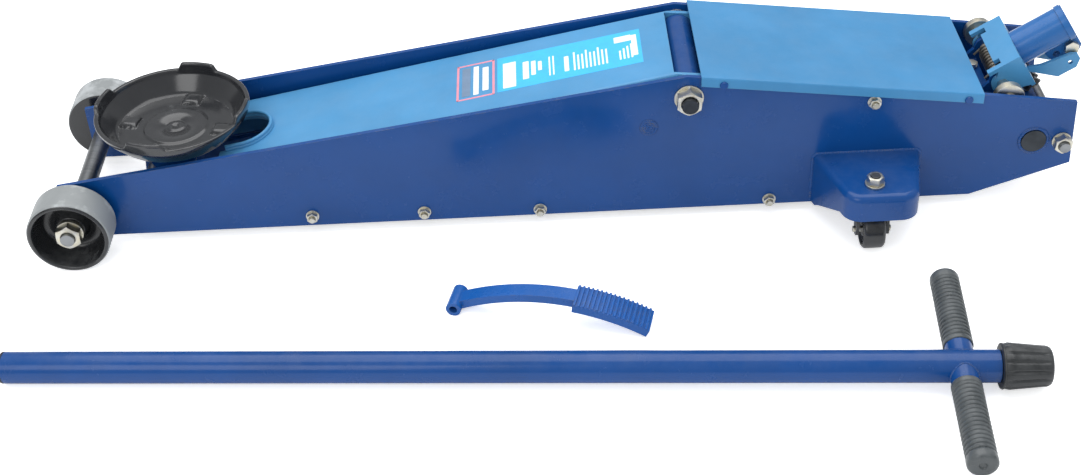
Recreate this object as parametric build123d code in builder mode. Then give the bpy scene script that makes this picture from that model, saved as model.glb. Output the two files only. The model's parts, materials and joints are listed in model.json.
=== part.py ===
from build123d import *
import math
import os

os.makedirs("parts", exist_ok=True)

# Long-chassis hydraulic floor jack, with its pump handle and its foot pedal lying beside it.
# Lengths are in millimetres. Along the jack they run from the front axle towards the handle
# end, across it from its middle, and upwards from the floor.

# ---- Frame -----------------------------------------------------------------
FRONT_AXLE_X = -627.13  # the front axle, so that the whole kit is centred on the origin
CENTRE_Y = 193.74  # the jack's middle, so that the whole kit is centred on the origin
SIDE = Plane(origin=(FRONT_AXLE_X, CENTRE_Y, 0), x_dir=(1, 0, 0), z_dir=(0, -1, 0))
PLAN = Plane(origin=(FRONT_AXLE_X, CENTRE_Y, 0), x_dir=(1, 0, 0), z_dir=(0, 0, 1))
SIDES = (1, -1)  # right-hand side, then left-hand side

# ---- Driving dimensions ----------------------------------------------------
RUNNING = 0.05  # radial clearance of a shaft that turns in a hole
PLATE_INNER = 88.0
PLATE_THICKNESS = 6.0
PLATE_OUTER = PLATE_INNER + PLATE_THICKNESS

WHEEL_RADIUS = 52.5
WHEEL_INNER = 104.6
WHEEL_OUTER = 152.5
AXLE = (0.0, WHEEL_RADIUS)
AXLE_RADIUS = 12.3
AXLE_END_RADIUS = 9.0

PIVOT = (792.0, 184.0)
PIVOT_RADIUS = 15.0
PIVOT_END_RADIUS = 10.5
PIVOT_TUBE_RADIUS = 22.0

SADDLE_PIN = (125.0, 70.0)
ROD_OFFSET = (-50.0, -42.0)  # the same at both ends, which keeps the saddle level
ROD_PIN = (SADDLE_PIN[0] + ROD_OFFSET[0], SADDLE_PIN[1] + ROD_OFFSET[1])
ANCHOR = (PIVOT[0] + ROD_OFFSET[0], PIVOT[1] + ROD_OFFSET[1])
SADDLE_PIN_RADIUS = 9.5
ROD_PIN_RADIUS = 9.0
ANCHOR_RADIUS = 10.0

ARM_HALF = 80.0
ARM_SHEET = 6.0
ARM_TOP_FRONT = (68.0, 75.1)
ARM_TOP_REAR = (775.0, 210.0)
ARM_SLOT_HALF = 50.0
ARM_SLOT_ROUND = 37.0  # the slot's rear end is a half circle of this radius
ARM_SLOT_END = 214.0

LEVER_LENGTH = 90.0
LEVER_HALF = 13.0
LEVER_LEAN = 19.0  # degrees behind vertical at rest, and in front of it at full height
LEVER_PIN_RADIUS = 10.0
LEVER_PIN = (
    PIVOT[0] + LEVER_LENGTH * math.sin(math.radians(LEVER_LEAN)),
    PIVOT[1] - LEVER_LENGTH * math.cos(math.radians(LEVER_LEAN)),
)

RAM_Z = 96.5
RAM_RADIUS = 16.0
CYLINDER_INNER = 21.0
CYLINDER_OUTER = 27.0
RESERVOIR_INNER = 41.0
RESERVOIR_OUTER = 45.0
HEAD_FRONT = 897.0
HEAD_REAR = 915.0
BLOCK_FRONT = 1165.0
BLOCK_STEP = 1195.0
BLOCK_REAR = 1258.0
BLOCK_HALF = 45.0
BLOCK_TOP = 108.0
TRUNNION = (1234.0, 94.0)
TRUNNION_RADIUS = 16.0
REAR_TIE = (1270.0, 92.0)
REAR_TIE_RADIUS = 7.0

CASTER_X = 1018.0
CASTER_Y = 166.0  # the swivel's distance from the middle
CASTER_TRAIL = 6.0
CASTER_RADIUS = 25.0
CASTER_HALF = 14.0
BRACKET_TOP = 89.0
BRACKET_SHEET = 5.0
KINGPIN_RADIUS = 6.0

YOKE_PIVOT = (1198.0, 154.0)
YOKE_SHAFT_RADIUS = 7.5
SOCKET_LEAN = 32.0  # degrees above level
SOCKET_LIFT = 2.5  # the socket's axis above the yoke's pivot
SOCKET_START = 35.0
SOCKET_END = 107.0
SOCKET_OUTER = 23.0
SOCKET_INNER = 19.2
SEAT_BORE = 18.6  # the narrower bottom of the socket, which stops the handle tube
SEAT_END = 47.0
PLUNGER = (1226.0, 7.0)  # distance along the jack, and radius
ROLLER_REACH = 34.0
ROLLER_RADIUS = 9.0
ROLLER_ANGLE = -35.0  # degrees from level at rest, seen from the right-hand side

COVER_FRONT = (807.0, 215.0)
COVER_REAR = (1162.0, 170.0)
COVER_SHEET = 3.0
COVER_FLANGE = 14.0

HANDLE_RADIUS = 19.0
HANDLE_WALL = 2.5
HANDLE_END = (-42.0, -352.0, 19.1)  # the plug end's centre
HANDLE_YAW = -4.29
HANDLE_PITCH = 0.395
HANDLE_ROLL = 3.5
HANDLE_LENGTH = 1158.0
KNOB_LENGTH = 57.0
KNOB_RADIUS = 27.0
CROSS_AT = 1116.0
GRIP_RADIUS = 17.5
GRIP_END = 148.0

PEDAL_BOSS = (493.0, -256.0)
PEDAL_YAW = -14.0
PEDAL_LENGTH = 240.0
PEDAL_RISE = 28.0


def finish(piece, name):
    piece.part.label = name
    export_step(piece.part, f"parts/{name}.step")


def finish_group(pieces, name):
    """Pieces that share a node, where each solid stays separate."""
    solids = [solid for piece in pieces for solid in piece.part.solids()]
    group = Compound(label=name, children=solids)
    export_step(group, f"parts/{name}.step")


def cylinder_pair(centres, start, end, radius, bore=0.0):
    """Discs, rods or rings across the jack, the same on both sides of it."""
    with BuildPart() as pair:
        for side in SIDES:
            with BuildSketch(SIDE.offset(side * start)):
                with Locations(*centres):
                    Circle(radius)
                    if bore > 0:
                        Circle(bore, mode=Mode.SUBTRACT)
            extrude(amount=side * (end - start))
    return pair


def cross_rod(centres, half_length, radius, bore=0.0):
    """Rods or tubes that run straight across the jack."""
    with BuildPart() as rod:
        with BuildSketch(SIDE):
            with Locations(*centres):
                Circle(radius)
                if bore > 0:
                    Circle(bore, mode=Mode.SUBTRACT)
        extrude(amount=half_length, both=True)
    return rod


def stepped_rod(centre, half_body, body_radius, half_end, end_radius):
    """A shaft across the jack with a thinner threaded end on each side."""
    with BuildPart() as rod:
        with BuildSketch(SIDE):
            with Locations(centre):
                Circle(body_radius)
        extrude(amount=half_body, both=True)
        for side in SIDES:
            with BuildSketch(SIDE.offset(side * half_body)):
                with Locations(centre):
                    Circle(end_radius)
            extrude(amount=side * (half_end - half_body))
    return rod


def nut_pair(centres, start, end, flats, bore):
    """Hexagon nuts on both sides of the jack."""
    with BuildPart() as pair:
        for side in SIDES:
            with BuildSketch(SIDE.offset(side * start)):
                with Locations(*centres):
                    RegularPolygon(flats / 2, 6, major_radius=False)
                    Circle(bore, mode=Mode.SUBTRACT)
            extrude(amount=side * (end - start))
    return pair


# ---- Chassis ---------------------------------------------------------------
TIES = [(303.0, 28.5), (449.0, 26.6), (600.0, 22.0), (899.0, 21.0), (1025.0, 164.5)]
TIE_RADIUS = 4.0
COVER_SCREWS = [(835.0, 201.5), (1143.0, 162.5)]
SCREW_RADIUS = 3.0
PLATE_OUTLINE = [
    (-18.6, 13.0),
    (1160.7, 13.0),
    (1286.0, 57.0),
    (1282.0, 149.5),
    (1162.0, 166.9),
    (790.0, 214.1),
    (-18.6, 93.0),
]


def side_plate(side):
    with BuildPart() as plate:
        with BuildSketch(SIDE.offset(side * PLATE_INNER)):
            with BuildLine():
                Polyline(*PLATE_OUTLINE, close=True)
            make_face()
            for centre, radius in (
                (AXLE, AXLE_RADIUS),
                (PIVOT, PIVOT_RADIUS),
                (ANCHOR, ANCHOR_RADIUS),
                (TRUNNION, TRUNNION_RADIUS),
                (REAR_TIE, REAR_TIE_RADIUS),
            ):
                with Locations(centre):
                    Circle(radius, mode=Mode.SUBTRACT)
            with Locations(*TIES):
                Circle(TIE_RADIUS, mode=Mode.SUBTRACT)
            with Locations(*COVER_SCREWS):
                Circle(SCREW_RADIUS, mode=Mode.SUBTRACT)
        extrude(amount=side * PLATE_THICKNESS)
    return plate


finish(side_plate(1), "side_plate_right")
finish(side_plate(-1), "side_plate_left")

WASHER_SHEET = 1.6
TIE_NUT_END = 102.0
tie_spacers = cross_rod(TIES, PLATE_INNER, 10.0, TIE_RADIUS)
wheel_spacers = cylinder_pair([AXLE], PLATE_OUTER, 104.2, 17.0, AXLE_RADIUS)
finish_group([tie_spacers, wheel_spacers], "spacer_tubes")
finish(cross_rod(TIES, 106.0, TIE_RADIUS), "tie_bolts")
tie_washers = cylinder_pair(TIES, PLATE_OUTER, PLATE_OUTER + WASHER_SHEET, 8.75, TIE_RADIUS)
tie_nuts = nut_pair(TIES, PLATE_OUTER + WASHER_SHEET, TIE_NUT_END, 13.0, TIE_RADIUS)
finish_group([tie_washers, tie_nuts], "tie_nuts")

REAR_TIE_NUT_END = 108.0
finish(cross_rod([REAR_TIE], 113.0, REAR_TIE_RADIUS), "rear_tie_rod")
rear_washers = cylinder_pair([REAR_TIE], PLATE_OUTER, 96.5, 12.5, REAR_TIE_RADIUS)
rear_nuts = nut_pair([REAR_TIE], 96.5, REAR_TIE_NUT_END, 21.0, REAR_TIE_RADIUS)
finish_group([rear_washers, rear_nuts], "rear_tie_nuts")

# ---- Cover over the power unit ---------------------------------------------
COVER_INNER = PLATE_OUTER + 0.3
COVER_OUTER = COVER_INNER + COVER_SHEET


def cover_strip(depth):
    """Side outline of a strip that hangs a depth below the cover's top."""
    with BuildLine() as outline:
        Polyline(
            COVER_FRONT,
            COVER_REAR,
            (COVER_REAR[0], COVER_REAR[1] - depth),
            (COVER_FRONT[0], COVER_FRONT[1] - depth),
            close=True,
        )
    return outline


with BuildPart() as cover:
    with BuildSketch(SIDE):
        add(cover_strip(COVER_SHEET))
        make_face()
    extrude(amount=COVER_OUTER, both=True)
    for side in SIDES:
        with BuildSketch(SIDE.offset(side * COVER_INNER)):
            add(cover_strip(COVER_FLANGE))
            make_face()
            with Locations(*COVER_SCREWS):
                Circle(SCREW_RADIUS, mode=Mode.SUBTRACT)
        extrude(amount=side * COVER_SHEET)
    long_edges = cover.edges().filter_by(lambda edge: edge.length > 350)
    fillet(long_edges.group_by(Axis.Y)[0].sort_by(Axis.Z)[-1], COVER_SHEET - 0.5)
    long_edges = cover.edges().filter_by(lambda edge: edge.length > 350)
    fillet(long_edges.group_by(Axis.Y)[-1].sort_by(Axis.Z)[-1], COVER_SHEET - 0.5)
finish(cover, "power_unit_cover")

with BuildPart() as cover_screws:
    for side in SIDES:
        with BuildSketch(SIDE.offset(side * PLATE_INNER)):
            with Locations(*COVER_SCREWS):
                Circle(SCREW_RADIUS)
        extrude(amount=side * (COVER_OUTER - PLATE_INNER))
        with BuildSketch(SIDE.offset(side * COVER_OUTER)):
            with Locations(*COVER_SCREWS):
                Circle(5.5)
        extrude(amount=side * 2.4, taper=20)
finish(cover_screws, "cover_screws")

# ---- Front axle and wheels -------------------------------------------------
HUB_END = 132.3
COLLAR_END = 139.0
finish(stepped_rod(AXLE, HUB_END + 0.3, AXLE_RADIUS, 155.5, AXLE_END_RADIUS), "front_axle")
axle_collars = cylinder_pair([AXLE], HUB_END + 0.3, COLLAR_END, 17.5, AXLE_END_RADIUS)
axle_nuts = nut_pair([AXLE], COLLAR_END, 151.0, 30.0, AXLE_END_RADIUS)
finish_group([axle_collars, axle_nuts], "axle_nuts")


def front_wheel(side):
    """Cast wheel: a tread, a web on the inner side, a hub, and a dish that opens outwards."""
    bore = AXLE_RADIUS + RUNNING
    section = [
        (bore, WHEEL_INNER),
        (WHEEL_RADIUS - 2.5, WHEEL_INNER),
        (WHEEL_RADIUS, WHEEL_INNER + 2.5),
        (WHEEL_RADIUS, WHEEL_OUTER - 2.5),
        (WHEEL_RADIUS - 2.5, WHEEL_OUTER),
        (WHEEL_RADIUS - 7.0, WHEEL_OUTER),
        (WHEEL_RADIUS - 11.0, WHEEL_INNER + 16.0),
        (WHEEL_RADIUS - 17.0, WHEEL_INNER + 10.0),
        (22.0, WHEEL_INNER + 12.0),
        (19.0, HUB_END - 1.5),
        (17.5, HUB_END),
        (bore, HUB_END),
    ]
    turning = Plane(
        origin=(FRONT_AXLE_X, CENTRE_Y, AXLE[1]), x_dir=(1, 0, 0), z_dir=(0, 0, 1)
    )
    with BuildPart() as wheel:
        with BuildSketch(turning):
            with BuildLine():
                Polyline(*[(radius, -side * out) for radius, out in section], close=True)
            make_face()
        revolve(axis=Axis(turning.origin, (0, 1, 0)))
    return wheel


finish(front_wheel(1), "front_wheel_right")
finish(front_wheel(-1), "front_wheel_left")

# ---- Lift arm and what turns with it ---------------------------------------
PIVOT_NUT_END = 111.0
finish(
    stepped_rod(PIVOT, PLATE_OUTER, PIVOT_RADIUS, 117.0, PIVOT_END_RADIUS),
    "main_pivot_shaft",
)
pivot_washers = cylinder_pair([PIVOT], PLATE_OUTER, 97.0, 18.5, PIVOT_END_RADIUS)
pivot_nuts = nut_pair([PIVOT], 97.0, PIVOT_NUT_END, 30.0, PIVOT_END_RADIUS)
finish_group([pivot_washers, pivot_nuts], "main_pivot_nuts")

pivot_tube = cross_rod([PIVOT], 85.5, PIVOT_TUBE_RADIUS, PIVOT_RADIUS + RUNNING)
finish(pivot_tube, "arm_pivot_tube")
thrust_rings = cylinder_pair([PIVOT], 85.8, PLATE_INNER, PIVOT_TUBE_RADIUS, PIVOT_RADIUS)
finish(thrust_rings, "arm_thrust_rings")

ARM_WEB_OUTLINE = [
    ARM_TOP_FRONT,
    ARM_TOP_REAR,
    (812.0, 206.0),
    (818.0, 184.0),
    (806.0, 158.0),
    (792.0, 155.5),
    (722.0, 155.5),
    (700.0, 126.0),
    (135.0, 43.0),
    (68.0, 52.0),
]
with BuildPart() as lift_arm:
    for side in SIDES:
        with BuildSketch(SIDE.offset(side * (ARM_HALF - ARM_SHEET))):
            with BuildLine():
                Polyline(*ARM_WEB_OUTLINE, close=True)
            make_face()
            corners = vertices().sort_by(Axis.X)
            fillet(corners[:2], 9.0)
            fillet(corners[-1], 8.0)
            with Locations(PIVOT):
                Circle(PIVOT_TUBE_RADIUS, mode=Mode.SUBTRACT)
            with Locations(SADDLE_PIN):
                Circle(SADDLE_PIN_RADIUS, mode=Mode.SUBTRACT)
        extrude(amount=side * ARM_SHEET)
    with BuildSketch(SIDE):
        with BuildLine():
            Polyline(
                (ARM_TOP_FRONT[0] + 8.0, ARM_TOP_FRONT[1] + 1.5),
                ARM_TOP_REAR,
                (ARM_TOP_REAR[0], ARM_TOP_REAR[1] - ARM_SHEET),
                (ARM_TOP_FRONT[0] + 8.0, ARM_TOP_FRONT[1] + 1.5 - ARM_SHEET),
                close=True,
            )
        make_face()
    extrude(amount=ARM_HALF, both=True)
    top_edges = lift_arm.edges().filter_by(lambda edge: edge.length > 650)
    fillet(top_edges.group_by(Axis.Y)[0].sort_by(Axis.Z)[-1], 5.0)
    top_edges = lift_arm.edges().filter_by(lambda edge: edge.length > 650)
    fillet(top_edges.group_by(Axis.Y)[-1].sort_by(Axis.Z)[-1], 5.0)
    with BuildSketch(PLAN):
        with Locations((110.0, 0.0)):
            Rectangle(150.0, 2 * ARM_SLOT_HALF)
        with Locations((ARM_SLOT_END, 0.0)):
            Circle(ARM_SLOT_ROUND)
        with Locations((ARM_SLOT_END - 20.0, 0.0)):
            Rectangle(40.0, 2 * ARM_SLOT_ROUND)
    extrude(amount=140.0, mode=Mode.SUBTRACT)
finish(lift_arm, "lift_arm")

lever_plane = SIDE.offset(-LEVER_HALF)
with BuildPart() as ram_lever:
    with BuildSketch(lever_plane):
        with BuildLine():
            lean = math.radians(LEVER_LEAN)
            across = (18.0 * math.cos(lean), 18.0 * math.sin(lean))
            Polyline(
                (PIVOT[0] - across[0], PIVOT[1] - across[1]),
                (PIVOT[0] + across[0], PIVOT[1] + across[1]),
                (LEVER_PIN[0] + across[0], LEVER_PIN[1] + across[1]),
                (LEVER_PIN[0] - across[0], LEVER_PIN[1] - across[1]),
                close=True,
            )
        make_face()
        with Locations(LEVER_PIN):
            Circle(18.0)
            Circle(LEVER_PIN_RADIUS, mode=Mode.SUBTRACT)
        with Locations(PIVOT):
            Circle(PIVOT_TUBE_RADIUS, mode=Mode.SUBTRACT)
    extrude(amount=2 * LEVER_HALF)
finish(ram_lever, "ram_lever")
finish(cross_rod([LEVER_PIN], 27.5, LEVER_PIN_RADIUS), "ram_lever_pin")
finish(cross_rod([SADDLE_PIN], 83.0, SADDLE_PIN_RADIUS), "saddle_pin")

# ---- Saddle bracket, parallel rods and saddle ------------------------------
CHEEK_INNER = 36.0
CHEEK_OUTER = 44.0
BRACKET_PLATE = (98.0, 106.0)  # underside and top of the bracket's top plate
SPINDLE_RADIUS = 14.0
SPINDLE_BOTTOM = 81.0
SADDLE_BOTTOM = 110.0
SADDLE_RADIUS = 101.0

with BuildPart() as saddle_bracket:
    for side in SIDES:
        with BuildSketch(SIDE.offset(side * CHEEK_INNER)):
            with BuildLine():
                Polyline(
                    (62.0, 21.0),
                    (86.0, 19.0),
                    (142.0, 56.0),
                    (156.0, BRACKET_PLATE[0]),
                    (92.0, BRACKET_PLATE[0]),
                    (104.0, 72.0),
                    (64.0, 40.0),
                    close=True,
                )
            make_face()
            fillet(vertices().sort_by(Axis.X)[:3], 5.0)
            with Locations(SADDLE_PIN):
                Circle(SADDLE_PIN_RADIUS + RUNNING, mode=Mode.SUBTRACT)
            with Locations(ROD_PIN):
                Circle(ROD_PIN_RADIUS, mode=Mode.SUBTRACT)
        extrude(amount=side * (CHEEK_OUTER - CHEEK_INNER))
    with BuildSketch(PLAN.offset(BRACKET_PLATE[0])):
        with Locations((SADDLE_PIN[0], 0)):
            RectangleRounded(80.0, 2 * CHEEK_OUTER, 8.0)
    extrude(amount=BRACKET_PLATE[1] - BRACKET_PLATE[0])
    with BuildSketch(PLAN.offset(SPINDLE_BOTTOM + 2.0)):
        with Locations((SADDLE_PIN[0], 0)):
            Circle(21.0)
    extrude(until=Until.NEXT)
    with BuildSketch(PLAN.offset(SPINDLE_BOTTOM)):
        with Locations((SADDLE_PIN[0], 0)):
            Circle(SPINDLE_RADIUS + RUNNING)
    extrude(amount=30.0, mode=Mode.SUBTRACT)
finish(saddle_bracket, "saddle_bracket")

ROD_INNER = 46.0
ROD_OUTER = 56.0
rod_pin = cross_rod([ROD_PIN], 64.0, ROD_PIN_RADIUS)
rod_pin_collars = cylinder_pair([ROD_PIN], 58.0, 62.0, 13.5, ROD_PIN_RADIUS)
finish_group([rod_pin, rod_pin_collars], "parallel_rod_pin")
finish(cross_rod([ANCHOR], PLATE_OUTER, ANCHOR_RADIUS), "rod_anchor_shaft")


def parallel_rod(side):
    """Flat bar between the chassis anchor and the saddle bracket, with an eye at each end."""
    start = Vector(*ROD_PIN)
    run = Vector(*ANCHOR) - start
    normal = Vector(-run.Y, run.X).normalized() * 12.0
    with BuildPart() as rod:
        with BuildSketch(SIDE.offset(side * ROD_INNER)):
            with BuildLine():
                Polyline(
                    tuple(start - normal)[:2],
                    tuple(start + run - normal)[:2],
                    tuple(start + run + normal)[:2],
                    tuple(start + normal)[:2],
                    close=True,
                )
            make_face()
            with Locations(ROD_PIN):
                Circle(14.0)
            with Locations(ANCHOR):
                Circle(16.0)
            with Locations(ROD_PIN):
                Circle(ROD_PIN_RADIUS + RUNNING, mode=Mode.SUBTRACT)
            with Locations(ANCHOR):
                Circle(ANCHOR_RADIUS + RUNNING, mode=Mode.SUBTRACT)
        extrude(amount=side * (ROD_OUTER - ROD_INNER))
    return rod


finish_group([parallel_rod(1), parallel_rod(-1)], "parallel_rods")

CLAW_FIRST = 78.0  # degrees round from straight back along the jack
CLAW_HALF_WIDTH = 14.5
CLAW_TOP = 154.0
RIM_TOP = 145.0
DISH_FLOOR = 116.0
saddle_axis = PLAN.origin + Vector(SADDLE_PIN[0], 0, 0)
saddle_turning = Plane(origin=saddle_axis, x_dir=(1, 0, 0), z_dir=(0, -1, 0))
with BuildPart() as saddle:
    with BuildSketch(saddle_turning):
        with BuildLine():
            Polyline(
                (0, SPINDLE_BOTTOM),
                (SPINDLE_RADIUS, SPINDLE_BOTTOM),
                (SPINDLE_RADIUS, SADDLE_BOTTOM),
                (76.0, SADDLE_BOTTOM),
                (SADDLE_RADIUS - 3.0, RIM_TOP - 10.0),
                (SADDLE_RADIUS, RIM_TOP),
                (SADDLE_RADIUS - 6.0, RIM_TOP),
                (SADDLE_RADIUS - 9.0, RIM_TOP - 7.0),
                (73.0, DISH_FLOOR),
                (0, DISH_FLOOR),
                close=True,
            )
        make_face()
    revolve(axis=Axis(saddle_axis, (0, 0, 1)))
    for quarter in range(4):
        turn = CLAW_FIRST + 90.0 * quarter
        claw_plane = Plane(origin=saddle_axis).rotated((0, 0, turn - CLAW_HALF_WIDTH))
        with BuildSketch(claw_plane * Plane.XZ):
            with BuildLine():
                Polyline(
                    (SADDLE_RADIUS - 7.0, RIM_TOP - 2.0),
                    (SADDLE_RADIUS - 0.2, RIM_TOP - 2.0),
                    (SADDLE_RADIUS + 1.5, CLAW_TOP),
                    (SADDLE_RADIUS - 6.5, CLAW_TOP),
                    close=True,
                )
            make_face()
        revolve(axis=Axis(saddle_axis, (0, 0, 1)), revolution_arc=2 * CLAW_HALF_WIDTH)
finish(saddle, "saddle")

# ---- Power unit ------------------------------------------------------------
RAM_PLANE = Plane(
    origin=(FRONT_AXLE_X, CENTRE_Y, RAM_Z), x_dir=(0, -1, 0), z_dir=(1, 0, 0)
)


def ram_ring(start, end, outer, inner=0.0):
    """A disc or tube round the ram's axis, between two distances along the jack."""
    with BuildPart() as ring:
        with BuildSketch(RAM_PLANE.offset(start)):
            Circle(outer)
            if inner > 0:
                Circle(inner, mode=Mode.SUBTRACT)
        extrude(amount=end - start)
    return ring


finish(ram_ring(HEAD_FRONT, HEAD_REAR, RESERVOIR_OUTER, RAM_RADIUS + RUNNING), "cylinder_head")
finish(ram_ring(HEAD_REAR, BLOCK_FRONT, CYLINDER_OUTER, CYLINDER_INNER), "ram_cylinder")
finish(ram_ring(HEAD_REAR, BLOCK_FRONT, RESERVOIR_OUTER, RESERVOIR_INNER), "oil_reservoir")

CLEVIS_FRONT = LEVER_PIN[0] - 20.0
CLEVIS_BASE = LEVER_PIN[0] + 28.0  # clears the lever's flank at full height
CLEVIS_REAR = LEVER_PIN[0] + 40.0
CLEVIS_EAR = (15.0, 26.0)
SLOT_CLEARANCE = 0.45
LEVER_DIP = LEVER_LENGTH * (1 - math.cos(math.radians(LEVER_LEAN)))  # the pin's rise and fall
slot_width = 2 * (LEVER_PIN_RADIUS + SLOT_CLEARANCE)
slot_height = slot_width + LEVER_DIP
slot_centre = (LEVER_PIN[0], LEVER_PIN[1] - LEVER_DIP / 2)
RAM_REAR = 1135.0

with BuildPart() as ram_clevis:
    for side in SIDES:
        with BuildSketch(SIDE.offset(side * CLEVIS_EAR[0])):
            with BuildLine():
                Polyline(
                    (CLEVIS_FRONT, RAM_Z - 14.0),
                    (CLEVIS_FRONT + 8.0, RAM_Z - 22.0),
                    (CLEVIS_BASE, RAM_Z - 22.0),
                    (CLEVIS_BASE, RAM_Z + 22.0),
                    (CLEVIS_FRONT + 8.0, RAM_Z + 22.0),
                    (CLEVIS_FRONT, RAM_Z + 14.0),
                    close=True,
                )
            make_face()
            with Locations(slot_centre):
                SlotOverall(slot_height, slot_width, rotation=90, mode=Mode.SUBTRACT)
        extrude(amount=side * (CLEVIS_EAR[1] - CLEVIS_EAR[0]))
    with BuildSketch(SIDE):
        with Locations(((CLEVIS_BASE + CLEVIS_REAR) / 2, RAM_Z)):
            Rectangle(CLEVIS_REAR - CLEVIS_BASE, 44.0)
    extrude(amount=CLEVIS_EAR[1], both=True)
finish(ram_clevis, "ram_clevis")
ram_piston = ram_ring(RAM_REAR, RAM_REAR + 20.0, CYLINDER_INNER - RUNNING)
finish_group([ram_ring(CLEVIS_REAR, RAM_REAR, RAM_RADIUS), ram_piston], "ram")

LUG_INNER = 38.0
LUG_OUTER = 44.0
BOSS_TOP = 112.0
with BuildPart() as pump_block:
    with BuildSketch(SIDE):
        with BuildLine():
            Polyline(
                (BLOCK_FRONT, RAM_Z - 46.0),
                (BLOCK_REAR, RAM_Z - 40.0),
                (BLOCK_REAR, BLOCK_TOP),
                (BLOCK_STEP, BLOCK_TOP),
                (BLOCK_STEP - 8.0, RAM_Z + 42.0),
                (BLOCK_FRONT, RAM_Z + 42.0),
                close=True,
            )
        make_face()
    extrude(amount=BLOCK_HALF, both=True)
    for side in SIDES:
        with BuildSketch(SIDE.offset(side * LUG_INNER)):
            with BuildLine():
                Polyline(
                    (BLOCK_FRONT + 3.0, RAM_Z + 42.0),
                    (BLOCK_STEP - 8.0, RAM_Z + 42.0),
                    (BLOCK_STEP, BLOCK_TOP),
                    (YOKE_PIVOT[0] + 14.0, BLOCK_TOP),
                    (YOKE_PIVOT[0] + 14.0, YOKE_PIVOT[1]),
                    (YOKE_PIVOT[0] - 14.0, YOKE_PIVOT[1]),
                    close=True,
                )
            make_face()
            with Locations(YOKE_PIVOT):
                Circle(15.0)
                Circle(YOKE_SHAFT_RADIUS, mode=Mode.SUBTRACT)
        extrude(amount=side * (LUG_OUTER - LUG_INNER))
    with BuildSketch(PLAN.offset(BLOCK_TOP)):
        with Locations((PLUNGER[0], 0)):
            Circle(13.0)
    extrude(amount=BOSS_TOP - BLOCK_TOP)
    with BuildSketch(PLAN.offset(BOSS_TOP)):
        with Locations((PLUNGER[0], 0)):
            Circle(PLUNGER[1] + RUNNING)
    extrude(amount=-42.0, mode=Mode.SUBTRACT)
    for side in SIDES:
        with BuildSketch(SIDE.offset(side * BLOCK_HALF)):
            with Locations(TRUNNION):
                Circle(TRUNNION_RADIUS)
        extrude(amount=-side * 12.0, mode=Mode.SUBTRACT)
finish(pump_block, "pump_block")
finish(cylinder_pair([TRUNNION], BLOCK_HALF - 12.0, 96.5, TRUNNION_RADIUS), "trunnion_shafts")
with BuildPart() as filler_plug:
    with BuildSketch(PLAN.offset(RAM_Z + 42.0)):
        with Locations((BLOCK_FRONT + 11.0, 18.0)):
            RegularPolygon(7.0, 6, major_radius=False)
    extrude(amount=7.0)
finish(filler_plug, "filler_plug")

# Return springs: each is a close-wound coil, taken as a tube here.
SPRING_OUT = 33.0
with BuildPart() as ram_springs:
    with BuildSketch(RAM_PLANE.offset(CLEVIS_REAR + 1.0)):
        with Locations((SPRING_OUT, 0), (-SPRING_OUT, 0)):
            Circle(6.0)
            Circle(4.0, mode=Mode.SUBTRACT)
    extrude(amount=HEAD_FRONT - CLEVIS_REAR - 2.0)
finish(ram_springs, "ram_return_springs")

# ---- Pump plunger, roller, yoke and socket ---------------------------------
ROLLER = (
    YOKE_PIVOT[0] + ROLLER_REACH * math.cos(math.radians(ROLLER_ANGLE)),
    YOKE_PIVOT[1] + ROLLER_REACH * math.sin(math.radians(ROLLER_ANGLE)),
)
ROLLER_GAP = 0.7
HEAD_TOP = ROLLER[1] - ROLLER_RADIUS - ROLLER_GAP
with BuildPart() as pump_plunger:
    with BuildSketch(PLAN.offset(BOSS_TOP - 34.0)):
        with Locations((PLUNGER[0], 0)):
            Circle(PLUNGER[1])
    extrude(amount=HEAD_TOP - BOSS_TOP + 34.0)
    with BuildSketch(PLAN.offset(HEAD_TOP)):
        with Locations((PLUNGER[0], 0)):
            Circle(10.0)
    extrude(amount=-6.0)
finish(pump_plunger, "pump_plunger")

yoke_discs = cylinder_pair([YOKE_PIVOT], 75.0, 85.0, 19.0, YOKE_SHAFT_RADIUS)
yoke_shaft = cross_rod([YOKE_PIVOT], 86.5, YOKE_SHAFT_RADIUS)
finish_group([yoke_shaft, yoke_discs], "yoke_shaft")
yoke_spring = cross_rod([YOKE_PIVOT], 31.0, 12.4, 9.2)
finish(yoke_spring, "yoke_return_spring")

# In the yoke's own plane, the first number runs along the socket and the second across it.
lean = math.radians(SOCKET_LEAN)
YOKE = Plane(
    origin=(FRONT_AXLE_X + YOKE_PIVOT[0], CENTRE_Y, YOKE_PIVOT[1]),
    x_dir=(math.cos(lean), 0, math.sin(lean)),
    z_dir=(0, -1, 0),
)
YOKE_HALF = 52.0
YOKE_SHEET = 5.5
EAR_INNER = 11.5
EAR_OUTER = 16.5
YOKE_TOP = SOCKET_LIFT + SOCKET_OUTER
roller_angle = math.radians(ROLLER_ANGLE - SOCKET_LEAN)
roller_local = (ROLLER_REACH * math.cos(roller_angle), ROLLER_REACH * math.sin(roller_angle))
SOCKET_PLANE = Plane(
    origin=YOKE.origin + YOKE.y_dir * SOCKET_LIFT, x_dir=(0, -1, 0), z_dir=YOKE.x_dir
)
COUPLER_RADIUS = 7.0
PEDAL_LUG = (18.0, 23.0)
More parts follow.
